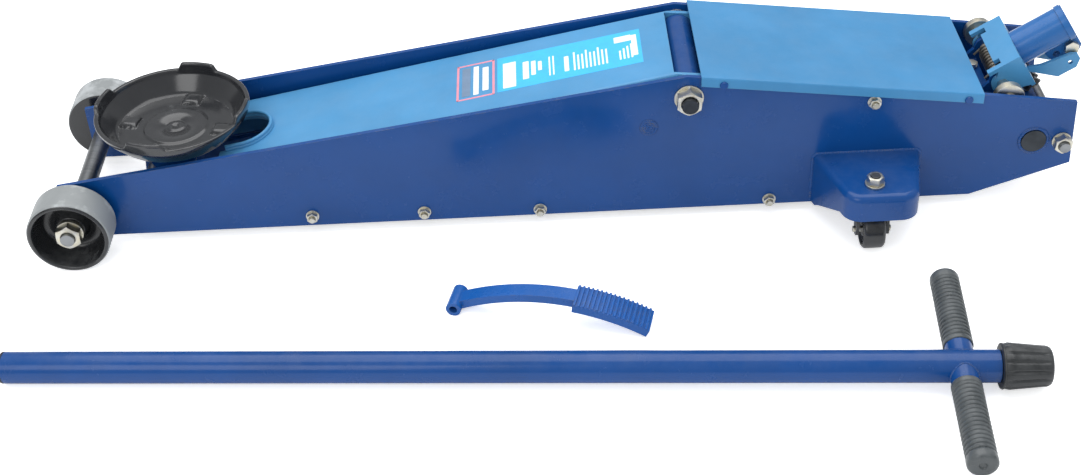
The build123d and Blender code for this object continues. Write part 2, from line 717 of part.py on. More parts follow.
with BuildPart() as handle_yoke:
    for side in SIDES:
        with BuildSketch(YOKE.offset(side * (YOKE_HALF - YOKE_SHEET))):
            with BuildLine():
                Polyline(
                    (-3.0, -12.0),
                    (SOCKET_START - 1.0, -23.0),
                    (SOCKET_START - 1.0, YOKE_TOP - 1.0),
                    (6.0, YOKE_TOP - 1.0),
                    (-3.0, 12.0),
                    close=True,
                )
            make_face()
            Circle(14.0)
            Circle(YOKE_SHAFT_RADIUS + RUNNING, mode=Mode.SUBTRACT)
        extrude(amount=side * YOKE_SHEET)
    with BuildSketch(YOKE):
        with BuildLine():
            Polyline(
                (-9.0, YOKE_TOP),
                (-9.0, YOKE_TOP - YOKE_SHEET),
                (SOCKET_START - YOKE_SHEET, YOKE_TOP - YOKE_SHEET),
                (SOCKET_START - YOKE_SHEET, -24.0),
                (SOCKET_START, -24.0),
                (SOCKET_START, YOKE_TOP),
                close=True,
            )
        make_face()
    extrude(amount=YOKE_HALF, both=True)
    for side in SIDES:
        with BuildSketch(YOKE):
            with Locations((-6.0, YOKE_TOP)):
                Rectangle(18.0, 3 * YOKE_SHEET)
        extrude(amount=side * 34.0, mode=Mode.SUBTRACT)
        with BuildSketch(YOKE.offset(side * 33.0)):
            with Locations((-2.0, YOKE_TOP)):
                Rectangle(26.0, 3 * YOKE_SHEET)
        extrude(amount=side * 11.0, mode=Mode.SUBTRACT)
        with BuildSketch(YOKE.offset(side * EAR_INNER)):
            with BuildLine():
                Polyline(
                    (SOCKET_START - 1.5, -8.0),
                    (SOCKET_START - 1.5, -21.0),
                    (roller_local[0] + 6.0, roller_local[1] - 7.0),
                    (roller_local[0] - 6.0, roller_local[1] - 7.0),
                    (roller_local[0] - 7.0, roller_local[1] + 5.0),
                    (24.0, -8.0),
                    close=True,
                )
            make_face()
            with Locations(roller_local):
                Circle(4.0, mode=Mode.SUBTRACT)
        extrude(amount=side * (EAR_OUTER - EAR_INNER))
        with BuildSketch(YOKE.offset(side * PEDAL_LUG[0])):
            with BuildLine():
                Polyline(
                    (SOCKET_START - 2.0, -16.0),
                    (SOCKET_START - 2.0, -22.0),
                    (62.0, -52.0),
                    (88.0, -52.0),
                    (97.0, -43.0),
                    (97.0, -35.0),
                    (90.0, -30.0),
                    (52.0, -24.0),
                    close=True,
                )
            make_face()
            with Locations((84.0, -41.0)):
                Circle(3.0, mode=Mode.SUBTRACT)
        extrude(amount=side * (PEDAL_LUG[1] - PEDAL_LUG[0]))
    with BuildSketch(SOCKET_PLANE.offset(SOCKET_START - 2 * YOKE_SHEET)):
        Circle(COUPLER_RADIUS + 1.0)
    extrude(amount=3 * YOKE_SHEET, mode=Mode.SUBTRACT)
finish(handle_yoke, "handle_yoke")

with BuildPart() as roller:
    with BuildSketch(YOKE):
        with Locations(roller_local):
            Circle(ROLLER_RADIUS)
            Circle(4.0, mode=Mode.SUBTRACT)
    extrude(amount=9.0, both=True)
with BuildPart() as roller_pin:
    with BuildSketch(YOKE):
        with Locations(roller_local):
            Circle(4.0)
    extrude(amount=EAR_OUTER + 1.5, both=True)
finish_group([roller, roller_pin], "pump_roller")

CLAMP_BOLT = (94.0, -29.0)
CLAMP_HOLE = (74.0, -29.0)
CLAMP_INNER = 1.5
CLAMP_OUTER = 9.0
with BuildPart() as socket:
    with BuildSketch(SOCKET_PLANE.offset(SOCKET_START)):
        Circle(SOCKET_OUTER)
    extrude(amount=SOCKET_END - SOCKET_START)
    with BuildSketch(SOCKET_PLANE.offset(SOCKET_END - 9.0)):
        Circle(SOCKET_OUTER + 1.5)
    extrude(amount=7.0)
    with BuildSketch(YOKE):
        with BuildLine():
            Polyline(
                (60.0, -16.0),
                (65.0, -35.0),
                (71.0, -40.0),
                (101.0, -40.0),
                (SOCKET_END, -34.0),
                (SOCKET_END, -16.0),
                close=True,
            )
        make_face()
        with Locations(CLAMP_BOLT):
            Circle(5.0, mode=Mode.SUBTRACT)
        with Locations(CLAMP_HOLE):
            Circle(4.5, mode=Mode.SUBTRACT)
    extrude(amount=CLAMP_OUTER, both=True)
    with BuildSketch(SOCKET_PLANE.offset(SOCKET_START)):
        Circle(SEAT_BORE)
    extrude(amount=SEAT_END - SOCKET_START, mode=Mode.SUBTRACT)
    with BuildSketch(SOCKET_PLANE.offset(SEAT_END)):
        Circle(SOCKET_INNER)
    extrude(amount=SOCKET_END - SEAT_END, mode=Mode.SUBTRACT)
    with BuildSketch(YOKE):
        with Locations((84.0, -30.0)):
            Rectangle(50.0, 40.0)
    extrude(amount=CLAMP_INNER, both=True, mode=Mode.SUBTRACT)
finish(socket, "handle_socket")

with BuildPart() as clamp_bolt:
    with BuildSketch(YOKE.offset(-17.0)):
        with Locations(CLAMP_BOLT):
            Circle(5.0)
    extrude(amount=CLAMP_OUTER + 17.0)
    with BuildSketch(YOKE.offset(CLAMP_OUTER)):
        with Locations(CLAMP_BOLT):
            RegularPolygon(8.5, 6, major_radius=False)
    extrude(amount=7.0)
with BuildPart() as clamp_nut:
    with BuildSketch(YOKE.offset(-CLAMP_OUTER)):
        with Locations(CLAMP_BOLT):
            RegularPolygon(8.5, 6, major_radius=False)
            Circle(5.0, mode=Mode.SUBTRACT)
    extrude(amount=-6.5)
finish_group([clamp_bolt, clamp_nut], "socket_clamp_bolt")

# ---- Release valve ---------------------------------------------------------
RELEASE_LEAN = 60.0  # degrees above level
release_angle = math.radians(RELEASE_LEAN)
RELEASE_FOOT = (1245.0, BLOCK_TOP)
RELEASE = Plane(
    origin=(FRONT_AXLE_X + RELEASE_FOOT[0], CENTRE_Y, RELEASE_FOOT[1]),
    x_dir=(0, -1, 0),
    z_dir=(math.cos(release_angle), 0, math.sin(release_angle)),
)
with BuildPart() as release_spindle:
    with BuildSketch(RELEASE.offset(3.8)):
        Circle(5.0)
    extrude(amount=9.0)
    with BuildSketch(RELEASE.offset(12.0)):
        Circle(8.0)
    extrude(amount=5.0)
    with BuildSketch(RELEASE.offset(17.0)):
        with Locations((6.0, 0), (-6.0, 0)):
            Rectangle(4.0, 10.0)
    extrude(amount=9.0)
finish(release_spindle, "release_spindle")

with BuildPart() as coupler:
    with BuildSketch(SOCKET_PLANE.offset(SOCKET_START - YOKE_SHEET - 6.0)):
        Circle(COUPLER_RADIUS)
    extrude(amount=YOKE_SHEET + 8.0)
    with BuildSketch(SOCKET_PLANE.offset(SOCKET_START + 1.0)):
        Circle(SOCKET_INNER - 1.2)
        Rectangle(24.0, 5.0, mode=Mode.SUBTRACT)
    extrude(amount=9.0)
    with BuildSketch(SOCKET_PLANE.offset(SOCKET_START + 1.0)):
        Circle(12.5)
    extrude(amount=2.0)
finish(coupler, "release_coupler")

# ---- Casters ---------------------------------------------------------------
RACE_BOTTOM = 74.0
FORK_CROWN = (53.0, 60.0)
CASTER_AXLE_RADIUS = 4.0
EAR_X = (17.0, 21.0)
POCKET_AT_PLATE = (953.0, 1090.0)
POCKET_AT_END = (983.0, 1069.0)
POCKET_END = 194.0
POCKET_FOOT = 15.0
POCKET_LIP = 52.0


def pocket_outline(side, inset):
    """Plan outline of the caster bracket, or of the hollow inside it."""
    y_start = -side * (PLATE_OUTER - (1.0 if inset else 0.0))
    y_end = -side * (POCKET_END - inset)
    with BuildSketch(PLAN.offset(POCKET_FOOT - (1.0 if inset else 0.0))) as outline:
        with BuildLine():
            Polyline(
                (POCKET_AT_PLATE[0] + inset, y_start),
                (POCKET_AT_PLATE[1] - inset, y_start),
                (POCKET_AT_END[1] - inset, y_end),
                (POCKET_AT_END[0] + inset, y_end),
                close=True,
            )
        make_face()
        corners = vertices().sort_by(Axis.Y)
        fillet(corners[:2] if side > 0 else corners[-2:], 24.0 - inset)
    return outline.sketch


def caster_bracket(side):
    """A pressed pocket whose lower edge rises from the chassis plate to its outer end."""
    section = Plane(
        origin=(FRONT_AXLE_X + POCKET_AT_PLATE[0] - 20.0, CENTRE_Y, 0),
        x_dir=(0, -side, 0),
        z_dir=(-side, 0, 0),
    )
    height = BRACKET_TOP - POCKET_FOOT
    with BuildPart() as bracket:
        extrude(pocket_outline(side, 0.0), amount=height)
        top = bracket.faces().sort_by(Axis.Z)[-1]
        off_plate = PLATE_OUTER + 1.0
        rim = top.edges().filter_by(lambda edge: abs(edge.center().Y - CENTRE_Y) > off_plate)
        fillet(rim, 9.0)
        hollow = height - BRACKET_SHEET + 1.0
        extrude(pocket_outline(side, BRACKET_SHEET), amount=hollow, mode=Mode.SUBTRACT)
        with BuildSketch(section):
            with BuildLine():
                Polyline(
                    (PLATE_OUTER + 12.0, POCKET_FOOT - 5.0),
                    (POCKET_END + 10.0, POCKET_FOOT - 5.0),
                    (POCKET_END + 10.0, POCKET_LIP),
                    (POCKET_END - 24.0, POCKET_LIP),
                    (PLATE_OUTER + 12.0, POCKET_FOOT + 2.0),
                    close=True,
                )
            make_face()
        past_ends = -side * (POCKET_AT_PLATE[1] - POCKET_AT_PLATE[0] + 40.0)
        extrude(amount=past_ends, mode=Mode.SUBTRACT)
        with BuildSketch(PLAN.offset(BRACKET_TOP - BRACKET_SHEET - 1.0)):
            with Locations((CASTER_X, -side * CASTER_Y)):
                Circle(KINGPIN_RADIUS + RUNNING)
        extrude(amount=BRACKET_SHEET + 2.0, mode=Mode.SUBTRACT)
    return bracket


def caster_ring(side, bottom, top, outer, inner):
    with BuildPart() as ring:
        with BuildSketch(PLAN.offset(bottom)):
            with Locations((CASTER_X, -side * CASTER_Y)):
                Circle(outer)
                Circle(inner, mode=Mode.SUBTRACT)
        extrude(amount=top - bottom)
    return ring


def caster_fork(side):
    wheel_y = -side * (CASTER_Y + CASTER_TRAIL)
    across = Plane(origin=(FRONT_AXLE_X + CASTER_X, CENTRE_Y, 0), x_dir=(0, 1, 0), z_dir=(1, 0, 0))
    with BuildPart() as fork:
        with BuildSketch(PLAN.offset(FORK_CROWN[0])):
            with Locations((CASTER_X, -side * CASTER_Y)):
                Circle(21.5)
        extrude(amount=FORK_CROWN[1] - FORK_CROWN[0])
        with BuildSketch(PLAN.offset(FORK_CROWN[1])):
            with Locations((CASTER_X, -side * CASTER_Y)):
                Circle(14.0)
        extrude(amount=RACE_BOTTOM - 0.3 - FORK_CROWN[1])
        with BuildSketch(PLAN.offset(RACE_BOTTOM - 1.0)):
            with Locations((CASTER_X, -side * CASTER_Y)):
                Circle(KINGPIN_RADIUS)
        extrude(amount=104.5 - RACE_BOTTOM)
        for end in SIDES:
            with BuildSketch(across.offset(end * EAR_X[0])):
                with BuildLine():
                    Polyline(
                        (-side * CASTER_Y - 8.0, FORK_CROWN[0] + 1.0),
                        (-side * CASTER_Y + 8.0, FORK_CROWN[0] + 1.0),
                        (wheel_y + 8.0, CASTER_RADIUS),
                        (wheel_y - 8.0, CASTER_RADIUS),
                        close=True,
                    )
                make_face()
                with Locations((wheel_y, CASTER_RADIUS)):
                    Circle(8.0)
                    Circle(CASTER_AXLE_RADIUS, mode=Mode.SUBTRACT)
            extrude(amount=end * (EAR_X[1] - EAR_X[0]))
    return fork


def caster_pin(side, half, outer, inner=0.0, edge=0.0):
    """A pin or a wheel on the caster's own axle, which lies along the jack at rest."""
    across = Plane(
        origin=(FRONT_AXLE_X + CASTER_X, CENTRE_Y - side * (CASTER_Y + CASTER_TRAIL), CASTER_RADIUS),
        x_dir=(0, 1, 0),
        z_dir=(1, 0, 0),
    )
    with BuildPart() as pin:
        with BuildSketch(across):
            Circle(outer)
        extrude(amount=half, both=True)
        if edge > 0:
            fillet(pin.edges(), edge)
        if inner > 0:
            with BuildSketch(across):
                Circle(inner)
            extrude(amount=half, both=True, mode=Mode.SUBTRACT)
    return pin


def caster_nut(side):
    with BuildPart() as nut:
        with BuildSketch(PLAN.offset(BRACKET_TOP + 3.3)):
            with Locations((CASTER_X, -side * CASTER_Y)):
                RegularPolygon(9.5, 6, major_radius=False)
                Circle(KINGPIN_RADIUS, mode=Mode.SUBTRACT)
        extrude(amount=10.0)
    return nut


for side, hand in ((1, "right"), (-1, "left")):
    finish(caster_bracket(side), f"caster_bracket_{hand}")
    finish(caster_fork(side), f"caster_fork_{hand}")
    pin = caster_pin(side, 24.0, CASTER_AXLE_RADIUS)
    finish_group([caster_nut(side), pin], f"caster_nut_and_pin_{hand}")
    wheel = caster_pin(side, CASTER_HALF, CASTER_RADIUS, CASTER_AXLE_RADIUS + RUNNING, 3.0)
    finish(wheel, f"caster_wheel_{hand}")
race_top = BRACKET_TOP - BRACKET_SHEET
races = [caster_ring(side, RACE_BOTTOM, race_top, 20.0, 6.6) for side in SIDES]
washers = [caster_ring(side, BRACKET_TOP, BRACKET_TOP + 3.0, 12.5, 6.6) for side in SIDES]
finish_group(races + washers, "caster_races")

# ---- Pump handle, lying beside the jack ------------------------------------
yaw = math.radians(HANDLE_YAW)
pitch = math.radians(HANDLE_PITCH)
roll = math.radians(HANDLE_ROLL)
handle_along = Vector(math.cos(yaw) * math.cos(pitch), math.sin(yaw) * math.cos(pitch), math.sin(pitch))
handle_left = Vector(-math.sin(yaw), math.cos(yaw), 0)
handle_up = handle_along.cross(handle_left)
cross_dir = handle_left * math.cos(roll) + handle_up * math.sin(roll)
HANDLE = Plane(
    origin=(FRONT_AXLE_X + HANDLE_END[0], CENTRE_Y + HANDLE_END[1], HANDLE_END[2]),
    x_dir=cross_dir,
    z_dir=handle_along,
)
CROSS = Plane(
    origin=HANDLE.origin + handle_along * CROSS_AT, x_dir=handle_along, z_dir=cross_dir
)
PLUG_CAP = 3.0
PLUG_DEPTH = 26.0
ROD_RADIUS = 6.0
with BuildPart() as handle_tube:
    with BuildSketch(HANDLE.offset(PLUG_CAP)):
        Circle(HANDLE_RADIUS)
        Circle(HANDLE_RADIUS - HANDLE_WALL, mode=Mode.SUBTRACT)
    extrude(amount=HANDLE_LENGTH - PLUG_CAP - 0.4)
finish(handle_tube, "handle_tube")
with BuildPart() as handle_plug:
    with BuildSketch(HANDLE):
        Circle(HANDLE_RADIUS)
        Circle(ROD_RADIUS + 0.5, mode=Mode.SUBTRACT)
    extrude(amount=PLUG_CAP)
    with BuildSketch(HANDLE.offset(PLUG_CAP)):
        Circle(HANDLE_RADIUS - HANDLE_WALL)
        Circle(ROD_RADIUS + 0.5, mode=Mode.SUBTRACT)
    extrude(amount=PLUG_DEPTH - PLUG_CAP)
finish(handle_plug, "handle_plug")

CROSS_RADIUS = 12.0
COLLAR_TO = 30.0
with BuildPart() as crossbar:
    for side in SIDES:
        with BuildSketch(CROSS.offset(side * 10.0)):
            Circle(CROSS_RADIUS)
        extrude(amount=side * (GRIP_END - 14.0))
        with BuildSketch(CROSS.offset(side * 10.0)):
            Circle(GRIP_RADIUS - 1.5)
        extrude(amount=side * (COLLAR_TO - 10.0))
    with BuildSketch(HANDLE.offset(CROSS_AT - 60.0)):
        Circle(HANDLE_RADIUS)
    extrude(amount=120.0, mode=Mode.SUBTRACT)
finish(crossbar, "handle_crossbar")
with BuildPart() as grips:
    for side in SIDES:
        with BuildSketch(CROSS.offset(side * COLLAR_TO)):
            Circle(GRIP_RADIUS)
        extrude(amount=side * (GRIP_END - COLLAR_TO))
        with BuildSketch(CROSS.offset(side * COLLAR_TO)):
            Circle(CROSS_RADIUS)
        extrude(amount=side * (GRIP_END - 4.0 - COLLAR_TO), mode=Mode.SUBTRACT)
finish(grips, "handle_grips")

with BuildPart() as knob:
    with BuildSketch(HANDLE.offset(HANDLE_LENGTH)):
        Circle(KNOB_RADIUS)
    extrude(amount=12.0)
    with BuildSketch(HANDLE.offset(HANDLE_LENGTH + 12.0)):
        Circle(KNOB_RADIUS)
    extrude(amount=KNOB_LENGTH - 12.0, taper=5.0)
    fillet(knob.edges().filter_by(GeomType.CIRCLE).sort_by(Axis.X)[0], 3.0)
    fillet(knob.edges().filter_by(GeomType.CIRCLE).sort_by(Axis.X)[-1], 4.0)
finish(knob, "release_knob")
with BuildPart() as release_rod:
    with BuildSketch(HANDLE.offset(8.0)):
        Circle(ROD_RADIUS)
    extrude(amount=HANDLE_LENGTH - 8.0)
finish(release_rod, "release_rod")

# ---- Foot pedal, lying beside the jack -------------------------------------
pedal_yaw = math.radians(PEDAL_YAW)
PEDAL = Plane(
    origin=(FRONT_AXLE_X + PEDAL_BOSS[0], CENTRE_Y + PEDAL_BOSS[1], 0),
    x_dir=(math.cos(pedal_yaw), math.sin(pedal_yaw), 0),
    z_dir=(math.sin(pedal_yaw), -math.cos(pedal_yaw), 0),
)
PEDAL_BOSS_RADIUS = 9.5
PEDAL_BORE = 5.0
LEVER_THICKNESS = 11.0
PAD_START = 148.0
PAD_HALF = 19.0
RIB_COUNT = 17
# The pedal follows an arc that stands on its two ends.
chord = PEDAL_LENGTH
arc_radius = (chord**2 / 4 + PEDAL_RISE**2) / (2 * PEDAL_RISE)
arc_centre = (chord / 2, PEDAL_RISE - arc_radius)


def arc_point(along, height):
    """A point a height above the pedal's lower arc, at a distance along the floor."""
    turn = math.asin((along - arc_centre[0]) / arc_radius)
    reach = arc_radius + height
    return (arc_centre[0] + reach * math.sin(turn), arc_centre[1] + reach * math.cos(turn))


def arc_strip(start, end, low, high):
    """Side outline of a stretch of the pedal's arc."""
    middle = (start + end) / 2
    with BuildLine() as outline:
        ThreePointArc(arc_point(start, low), arc_point(middle, low), arc_point(end, low))
        ThreePointArc(arc_point(start, high), arc_point(middle, high), arc_point(end, high))
        Line(arc_point(start, low), arc_point(start, high))
        Line(arc_point(end, low), arc_point(end, high))
    return outline


with BuildPart() as pedal:
    with BuildSketch(PEDAL):
        with Locations((0, PEDAL_BOSS_RADIUS)):
            Circle(PEDAL_BOSS_RADIUS)
    extrude(amount=PAD_HALF, both=True)
    with BuildSketch(PEDAL):
        add(arc_strip(2.0, PAD_START + 2.0, 1.5, LEVER_THICKNESS + 1.5))
        make_face()
    extrude(amount=11.0, both=True)
    with BuildSketch(PEDAL):
        add(arc_strip(PAD_START, PEDAL_LENGTH - 2.0, 0.6, LEVER_THICKNESS))
        make_face()
    extrude(amount=PAD_HALF, both=True)
    rib_step = (PEDAL_LENGTH - 4.0 - PAD_START) / RIB_COUNT
    for rib in range(RIB_COUNT):
        rib_start = PAD_START + 1.0 + rib * rib_step
        with BuildSketch(PEDAL):
            add(arc_strip(rib_start, rib_start + 0.5 * rib_step, LEVER_THICKNESS - 0.5, LEVER_THICKNESS + 2.2))
            make_face()
        extrude(amount=PAD_HALF, both=True)
    with BuildSketch(PEDAL):
        with Locations((0, PEDAL_BOSS_RADIUS)):
            Circle(PEDAL_BORE)
    extrude(amount=PAD_HALF, both=True, mode=Mode.SUBTRACT)
finish(pedal, "foot_pedal")
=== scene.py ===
import json
import math

import bmesh
import bpy
from bpy.props import FloatProperty, FloatVectorProperty, IntProperty, PointerProperty
from mathutils import Matrix, Vector

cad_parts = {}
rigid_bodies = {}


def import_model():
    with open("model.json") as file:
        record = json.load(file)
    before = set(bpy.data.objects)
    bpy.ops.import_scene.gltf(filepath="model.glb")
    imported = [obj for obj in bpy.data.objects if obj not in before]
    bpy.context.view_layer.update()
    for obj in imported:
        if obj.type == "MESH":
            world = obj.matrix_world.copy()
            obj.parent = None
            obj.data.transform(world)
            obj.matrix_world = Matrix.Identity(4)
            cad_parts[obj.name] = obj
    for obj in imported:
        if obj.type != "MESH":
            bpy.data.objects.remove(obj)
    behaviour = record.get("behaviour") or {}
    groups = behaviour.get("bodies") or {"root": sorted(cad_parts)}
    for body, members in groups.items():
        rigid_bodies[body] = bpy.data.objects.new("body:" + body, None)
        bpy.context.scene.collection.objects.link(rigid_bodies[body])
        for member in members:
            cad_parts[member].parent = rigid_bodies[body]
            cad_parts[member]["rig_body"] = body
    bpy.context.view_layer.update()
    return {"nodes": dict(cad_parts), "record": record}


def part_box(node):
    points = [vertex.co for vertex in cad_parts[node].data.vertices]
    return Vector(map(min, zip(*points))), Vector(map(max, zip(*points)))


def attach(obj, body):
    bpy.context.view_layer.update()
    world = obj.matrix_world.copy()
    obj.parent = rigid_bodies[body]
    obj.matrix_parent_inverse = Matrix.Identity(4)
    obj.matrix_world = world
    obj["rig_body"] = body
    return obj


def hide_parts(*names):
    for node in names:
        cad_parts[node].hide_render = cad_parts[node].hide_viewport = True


bl_info = {
    "name": "Hydraulic floor jack",
    "version": (1, 0, 0),
    "blender": (4, 5, 0),
    "location": "View3D > Sidebar > Floor jack",
    "description": "Finishes a floor jack, its handle and its pedal round their CAD frame",
    "category": "Object",
}

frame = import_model()
NODES = frame["nodes"]
SLOT_OF = {part["node"]: part["material_slot"] for part in frame["record"]["subparts"]}
MM = 0.001
SHARP = math.radians(34)

# The jack's own frame: along it from the front axle, across it from its middle, and up.
axle_low, axle_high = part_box("front_axle")
JACK = (axle_low + axle_high) / 2
PLATE_OUTER = 94.0
ARM_SLOPE = 0.1908
ARM_HEIGHT_AT = (235.0, 107.0)


def jack(along, across, up):
    """A point of the shared frame from the jack's own millimetres."""
    return Vector((JACK.x + along * MM, JACK.y + across * MM, up * MM))


# ---- Sizes and colours that a user would change -----------------------------
class JackSizes(bpy.types.PropertyGroup):
    plate_edge: FloatProperty(
        name="Plate edge", description="Rounding of the painted plates' edges",
        default=0.0011, subtype="DISTANCE", unit="LENGTH")
    small_edge: FloatProperty(
        name="Small edge", description="Rounding of the small parts' edges",
        default=0.0005, subtype="DISTANCE", unit="LENGTH")
    bead: FloatProperty(
        name="Weld bead", description="Half width of the larger weld beads",
        default=0.0026, subtype="DISTANCE", unit="LENGTH")
    grip_ribs: IntProperty(
        name="Grip ribs", description="Ribs round each hand grip", default=16, min=4, max=40)
    knob_flutes: IntProperty(
        name="Knob flutes", description="Ridges round the release knob", default=14, min=6, max=40)
    spring_turns: IntProperty(
        name="Spring turns", description="Turns of the spring across the yoke", default=9, min=4)
    nut_spread: FloatProperty(
        name="Nut spread", description="How far nuts are turned from each other",
        default=math.radians(55), subtype="ANGLE", unit="ROTATION")


def paint_property(name, description, default):
    return FloatVectorProperty(
        name=name, description=description, default=default, subtype="COLOR", min=0, max=1)


class JackColours(bpy.types.PropertyGroup):
    blue: paint_property("Blue", "Enamel of the chassis, handle and pedal", (0.003, 0.050, 0.205))
    # A lighter copy of the chassis blue: part of its lightness is painted reflection of the bright
    # overhead sky on the arm's and yoke's upward faces.
    bright_blue_with_reflection: paint_property("Bright blue", "Enamel of the arm and yoke", (0.062, 0.240, 0.455))
    # A lighter copy of the chassis blue: part of its lightness is painted reflection of the bright
    # overhead light on the cover's top.
    cover_blue_with_reflection: paint_property("Cover blue with painted reflection", "Enamel of the cover", (0.044, 0.205, 0.410))
    pedal_blue: paint_property("Pedal blue", "Enamel of the foot pedal", (0.007, 0.086, 0.33))
    socket_blue: paint_property("Socket blue", "Enamel of the handle socket", (0.018, 0.110, 0.32))
    zinc: paint_property("Zinc", "Plating of the nuts and washers", (0.64, 0.64, 0.61))
    steel: paint_property("Steel", "Bare steel of the shafts", (0.26, 0.27, 0.28))
    black: paint_property("Black", "Enamel of the castings", (0.012, 0.013, 0.015))
    panel_blue: paint_property("Panel blue", "Ground of the printed panel", (0.05, 0.47, 0.86))


# ---- Shader groups ----------------------------------------------------------
def shader_group(name, inputs, outputs):
    """An empty shader node group with the sockets named."""
    tree = bpy.data.node_groups.new(name, "ShaderNodeTree")
    for socket, kind, default in inputs:
        made = tree.interface.new_socket(name=socket, in_out="INPUT", socket_type=kind)
        made.default_value = default
    for socket, kind in outputs:
        tree.interface.new_socket(name=socket, in_out="OUTPUT", socket_type=kind)
    return tree, tree.nodes.new("NodeGroupInput"), tree.nodes.new("NodeGroupOutput")


def node(tree, kind, settings=None, **values):
    """A node with its settings, its input values and its links made together."""
    made = tree.nodes.new(kind)
    for key, value in (settings or {}).items():
        setattr(made, key, value)
    for key, value in values.items():
        socket = made.inputs[int(key[1:]) if key[1:].isdigit() else key.replace("_", " ")]
        if isinstance(value, bpy.types.NodeSocket):
            tree.links.new(value, socket)
        else:
            socket.default_value = value
    return made


def edge_wear_group():
    """Where sharp edges have lost their paint, broken up by noise."""
    tree, given, out = shader_group(
        "Edge wear",
        [("Radius", "NodeSocketFloat", 0.0015), ("Amount", "NodeSocketFloat", 0.5),
         ("Scale", "NodeSocketFloat", 60.0)],
        [("Mask", "NodeSocketFloat")])
    round_edge = node(tree, "ShaderNodeBevel", {"samples": 4}, Radius=given.outputs["Radius"])
    geometry = node(tree, "ShaderNodeNewGeometry")
    facing = node(tree, "ShaderNodeVectorMath", {"operation": "DOT_PRODUCT"},
                  i0=round_edge.outputs[0], i1=geometry.outputs["Normal"])
    edge = node(tree, "ShaderNodeMapRange", {"clamp": True}, i0=facing.outputs["Value"],
                i1=0.995, i2=0.86, i3=0.0, i4=1.0)
    place = node(tree, "ShaderNodeTexCoord")
    noise = node(tree, "ShaderNodeTexNoise", i0=place.outputs["Object"],
                 Scale=given.outputs["Scale"], Detail=5.0, Roughness=0.62)
    broken = node(tree, "ShaderNodeMapRange", {"clamp": True}, i0=noise.outputs[0],
                  i1=0.46, i2=0.62, i3=0.0, i4=1.0)
    both = node(tree, "ShaderNodeMath", {"operation": "MULTIPLY"},
                i0=edge.outputs[0], i1=broken.outputs[0])
    scaled = node(tree, "ShaderNodeMath", {"operation": "MULTIPLY", "use_clamp": True},
                  i0=both.outputs[0], i1=given.outputs["Amount"])
    tree.links.new(scaled.outputs[0], out.inputs["Mask"])
    return tree


def patches_group():
    """Soft patches from two sizes of noise, for smudges, dust and worn places."""
    tree, given, out = shader_group(
        "Patches",
        [("Scale", "NodeSocketFloat", 20.0), ("From", "NodeSocketFloat", 0.4),
         ("To", "NodeSocketFloat", 0.65), ("Stretch", "NodeSocketVector", (1.0, 1.0, 1.0))],
        [("Mask", "NodeSocketFloat")])
    place = node(tree, "ShaderNodeTexCoord")
    stretch = node(tree, "ShaderNodeVectorMath", {"operation": "MULTIPLY"},
                   i0=place.outputs["Object"], i1=given.outputs["Stretch"])
    noise = node(tree, "ShaderNodeTexNoise", i0=stretch.outputs[0],
                 Scale=given.outputs["Scale"], Detail=6.0, Roughness=0.6)
    mask = node(tree, "ShaderNodeMapRange", {"clamp": True}, i0=noise.outputs[0],
                i1=given.outputs["From"], i2=given.outputs["To"], i3=0.0, i4=1.0)
    tree.links.new(mask.outputs[0], out.inputs["Mask"])
    return tree


def grain_group():
    """Fine height of orange peel, casting skin or moulded grain."""
    tree, given, out = shader_group(
        "Surface grain",
        [("Scale", "NodeSocketFloat", 400.0), ("Fine Share", "NodeSocketFloat", 0.3)],
        [("Height", "NodeSocketFloat")])
    place = node(tree, "ShaderNodeTexCoord")
    broad = node(tree, "ShaderNodeTexNoise", i0=place.outputs["Object"],
                 Scale=given.outputs["Scale"], Detail=2.0)
    finer = node(tree, "ShaderNodeMath", {"operation": "MULTIPLY"},
                 i0=given.outputs["Scale"], i1=4.0)
    fine = node(tree, "ShaderNodeTexNoise", i0=place.outputs["Object"],
                Scale=finer.outputs[0], Detail=3.0)
    height = node(tree, "ShaderNodeMix", {"data_type": "FLOAT"},
                  i0=given.outputs["Fine Share"], i2=broad.outputs[0], i3=fine.outputs[0])
    tree.links.new(height.outputs[0], out.inputs["Height"])
    return tree


def dust_group():
    """Dust that settles on what faces up, in drifts."""
    tree, given, out = shader_group(
        "Settled dust",
        [("Amount", "NodeSocketFloat", 0.2), ("Scale", "NodeSocketFloat", 14.0)],
        [("Mask", "NodeSocketFloat")])
    geometry = node(tree, "ShaderNodeNewGeometry")
    split = node(tree, "ShaderNodeSeparateXYZ", i0=geometry.outputs["Normal"])
    up = node(tree, "ShaderNodeMapRange", {"clamp": True}, i0=split.outputs[2],
              i1=0.3, i2=0.95, i3=0.0, i4=1.0)
    place = node(tree, "ShaderNodeTexCoord")
    noise = node(tree, "ShaderNodeTexNoise", i0=place.outputs["Object"],
                 Scale=given.outputs["Scale"], Detail=8.0, Roughness=0.7)
    drift = node(tree, "ShaderNodeMapRange", {"clamp": True}, i0=noise.outputs[0],
                 i1=0.35, i2=0.75, i3=0.0, i4=1.0)
    both = node(tree, "ShaderNodeMath", {"operation": "MULTIPLY"},
                i0=up.outputs[0], i1=drift.outputs[0])
    scaled = node(tree, "ShaderNodeMath", {"operation": "MULTIPLY", "use_clamp": True},
                  i0=both.outputs[0], i1=given.outputs["Amount"])
    tree.links.new(scaled.outputs[0], out.inputs["Mask"])
    return tree


GROUP_MAKERS = {
    "Edge wear": edge_wear_group,
    "Patches": patches_group,
    "Surface grain": grain_group,
    "Settled dust": dust_group,
}


def effect(tree, name, **values):
    """An effect group placed in a material with its own values."""
    made = tree.nodes.new("ShaderNodeGroup")
    made.node_tree = bpy.data.node_groups.get(name) or GROUP_MAKERS[name]()
    for key, value in values.items():
        made.inputs[key.replace("_", " ")].default_value = value
    return made.outputs[0]


def blended(tree, share, first, second):
    """Two colours mixed by a mask. Either may be a socket."""
    return node(tree, "ShaderNodeMix", {"data_type": "RGBA"}, i0=share,
                i6=first if isinstance(first, bpy.types.NodeSocket) else (*first, 1),
                i7=second if isinstance(second, bpy.types.NodeSocket) else (*second, 1)).outputs[2]


